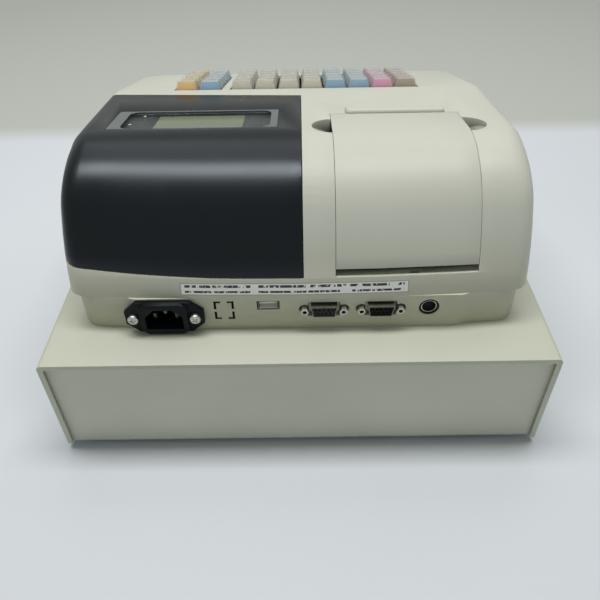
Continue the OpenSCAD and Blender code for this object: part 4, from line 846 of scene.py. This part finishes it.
def screwHead(x, z, turn):  # pan head with a cross recess
    near, far = headSet["y"]
    head = drum("screw_head", (x, (near + far) / 2, z), headSet["radius"], far - near, "y", headSet["sides"])
    bevelled(head, *headSet["soft"])
    for angle in (turn, turn + 90):
        bar = block("bar", *[(-side / 2, side / 2) for side in headSet["cross"]])
        bar.data.transform(Matrix.Translation(mm(x, far, z)) @ Matrix.Rotation(math.radians(angle), 4, "Y"))
        cut(head, bar)
    return head


def roundSocket():  # open sleeve, and a core with contact holes
    x, z = socketSet["x"], socketSet["z"]
    outer, inner = socketSet["outer"], socketSet["inner"]
    low, high = socketSet["sleeveY"]
    sleeve = drum("drawer_socket_sleeve", (x, (low + high) / 2, z), outer, high - low, "y")
    pick(sleeve, lambda centre, normal: normal.y > 0.9)
    bpy.ops.mesh.inset(thickness=(outer - inner) / 1000, depth=0)
    depth = mm(0, low - high + socketSet["floor"], 0)
    bpy.ops.mesh.extrude_region_move(TRANSFORM_OT_translate={"value": depth})
    bpy.ops.object.mode_set(mode="OBJECT")
    low, high = socketSet["coreY"]
    middle = (low + high) / 2 + socketSet["coreOut"]
    core = drum("drawer_socket_core", (x, middle, z), socketSet["core"], high - low, "y")
    for angle in socketSet["holes"]:  # contact holes
        aside = socketSet["holeRing"] * math.cos(math.radians(angle))
        above = socketSet["holeRing"] * math.sin(math.radians(angle))
        cut(core, drum("hole", (x + aside, high, z + above), socketSet["holeRadius"],
                       socketSet["holeLong"], "y", socketSet["holeSides"]))
    return sleeve, core


inlet = centreOf["inlet_housing"]
heads = [screwHead(inlet[0] + side * headSet["pitch"], inlet[2], turn)
         for side, turn in zip((-0.5, 0.5), headSet["turns"])]
placed(done(joined("inlet_screw_heads", heads), headSet["smooth"]), zinc, "register")
sleeve, core = roundSocket()
placed(done(sleeve), bright, "register")
placed(done(core), darkPlastic, "register")
print("connectors dressed")

# floor and studio, in metres
floorSet = dict(size=9.0, near=(221, 225, 230), dark=0.97, light=1.03, far=(194, 197, 190), edge=-0.306,
                soft=0.02, cloud=2.2, rough=0.55, patchy=0.1, gloss=0.3, glow=(168, 172, 170), glowFrom=1.0,
                glowTo=3.2)


def floorFinish(name, look):  # one tone near the object, one past the edge line behind it
    finish = Finish(name)
    across, along = finish.metres()[:2]
    beyond = finish.spread(along, look["edge"] + look["soft"], look["edge"] - look["soft"])
    cloud = finish.clouds(look["cloud"])
    near = finish.tones(cloud, dict(look, colour=look["near"]))
    away = (across * across + along * along).power(0.5)
    rays = finish.node("ShaderNodeLightPath").socket.node.outputs
    direct = 0
    for ray in ("Is Camera Ray", "Is Glossy Ray", "Is Transmission Ray"):
        direct = Wire(finish, rays[ray]) + direct
    seen = direct * finish.spread(away, look["glowFrom"], look["glowTo"])
    return finish.wear({
        "Base Color": finish.mix(beyond, near, paint(*look["far"])),
        "Roughness": look["rough"] + cloud * look["patchy"],
        "Specular IOR Level": look["gloss"],
        "Emission Color": finish.mix(seen, (0, 0, 0, 1), paint(*look["glow"])),  # keeps the far floor pale
        "Emission Strength": 1.0})


letGo()
bpy.ops.mesh.primitive_plane_add(size=floorSet["size"], location=(0, 0, 0))
floor = bpy.context.object
floor.name = "floor"
floor.data.materials.append(floorFinish("floor_finish", floorSet))

studioSet = dict(sky=(176, 181, 178), skyLevel=0.48, backdrop=(160, 164, 162), aimHeight=0.1,
                 lamp=dict(place=(0.1, -0.02, 1.6), size=(1.6, 0.36), power=18.5),
                 fill=dict(place=(-0.1, -0.95, 1.45), size=(2.0, 0.9), power=5.0))


def studioWorld():  # the backdrop is what shows past the floor, and in metal and glass
    world = bpy.data.worlds.new("studio")
    bpy.context.scene.world = world
    world.use_nodes = True
    tree = world.node_tree
    sky = tree.nodes["Background"]
    sky.inputs["Color"].default_value = paint(*studioSet["sky"])
    sky.inputs["Strength"].default_value = studioSet["skyLevel"]
    backdrop = tree.nodes.new("ShaderNodeBackground")
    backdrop.inputs["Color"].default_value = paint(*studioSet["backdrop"])
    choice = tree.nodes.new("ShaderNodeMixShader")
    light = tree.nodes.new("ShaderNodeLightPath")
    seen = light.outputs["Is Camera Ray"]
    for ray in ("Is Glossy Ray", "Is Transmission Ray"):
        either = tree.nodes.new("ShaderNodeMath")
        either.operation = "MAXIMUM"
        tree.links.new(seen, either.inputs[0])
        tree.links.new(light.outputs[ray], either.inputs[1])
        seen = either.outputs[0]
    for place, source in enumerate((seen, sky.outputs[0], backdrop.outputs[0])):
        tree.links.new(source, choice.inputs[place])
    tree.links.new(choice.outputs[0], tree.nodes["World Output"].inputs["Surface"])


def softbox(name, sizes):  # faces the object squarely from in front or above
    letGo()
    place = sizes["place"]
    aim = Vector((place[0], 0, studioSet["aimHeight"])) - Vector(place)
    bpy.ops.object.light_add(type="AREA", location=place, rotation=aim.to_track_quat("-Z", "Y").to_euler())
    lamp = bpy.context.object
    lamp.name = name
    lamp.data.shape = "RECTANGLE"
    lamp.data.size, lamp.data.size_y = sizes["size"]
    lamp.data.energy = sizes["power"]


studioWorld()
softbox("ceiling_softbox", studioSet["lamp"])
softbox("room_softbox", studioSet["fill"])

cameraSet = dict(place=(-0.0033, 0.4417, 0.3704), down=41.69, turn=180.42, roll=-1.11, lens=37.19, sensor=36,
                 clip=0.01)
letGo()
bpy.ops.object.camera_add(location=cameraSet["place"])
camera = bpy.context.object
camera.name = "view_camera"
camera.matrix_world = (Matrix.Translation(cameraSet["place"])
                       @ Matrix.Rotation(math.radians(cameraSet["turn"]), 4, "Z")
                       @ Matrix.Rotation(math.radians(90 - cameraSet["down"]), 4, "X")
                       @ Matrix.Rotation(math.radians(cameraSet["roll"]), 4, "Z"))
camera.data.lens = cameraSet["lens"]
camera.data.sensor_width = cameraSet["sensor"]
camera.data.sensor_fit = "HORIZONTAL"
camera.data.clip_start = cameraSet["clip"]
bpy.context.scene.camera = camera
bpy.context.scene.view_settings.view_transform = "Standard"
print("studio set")
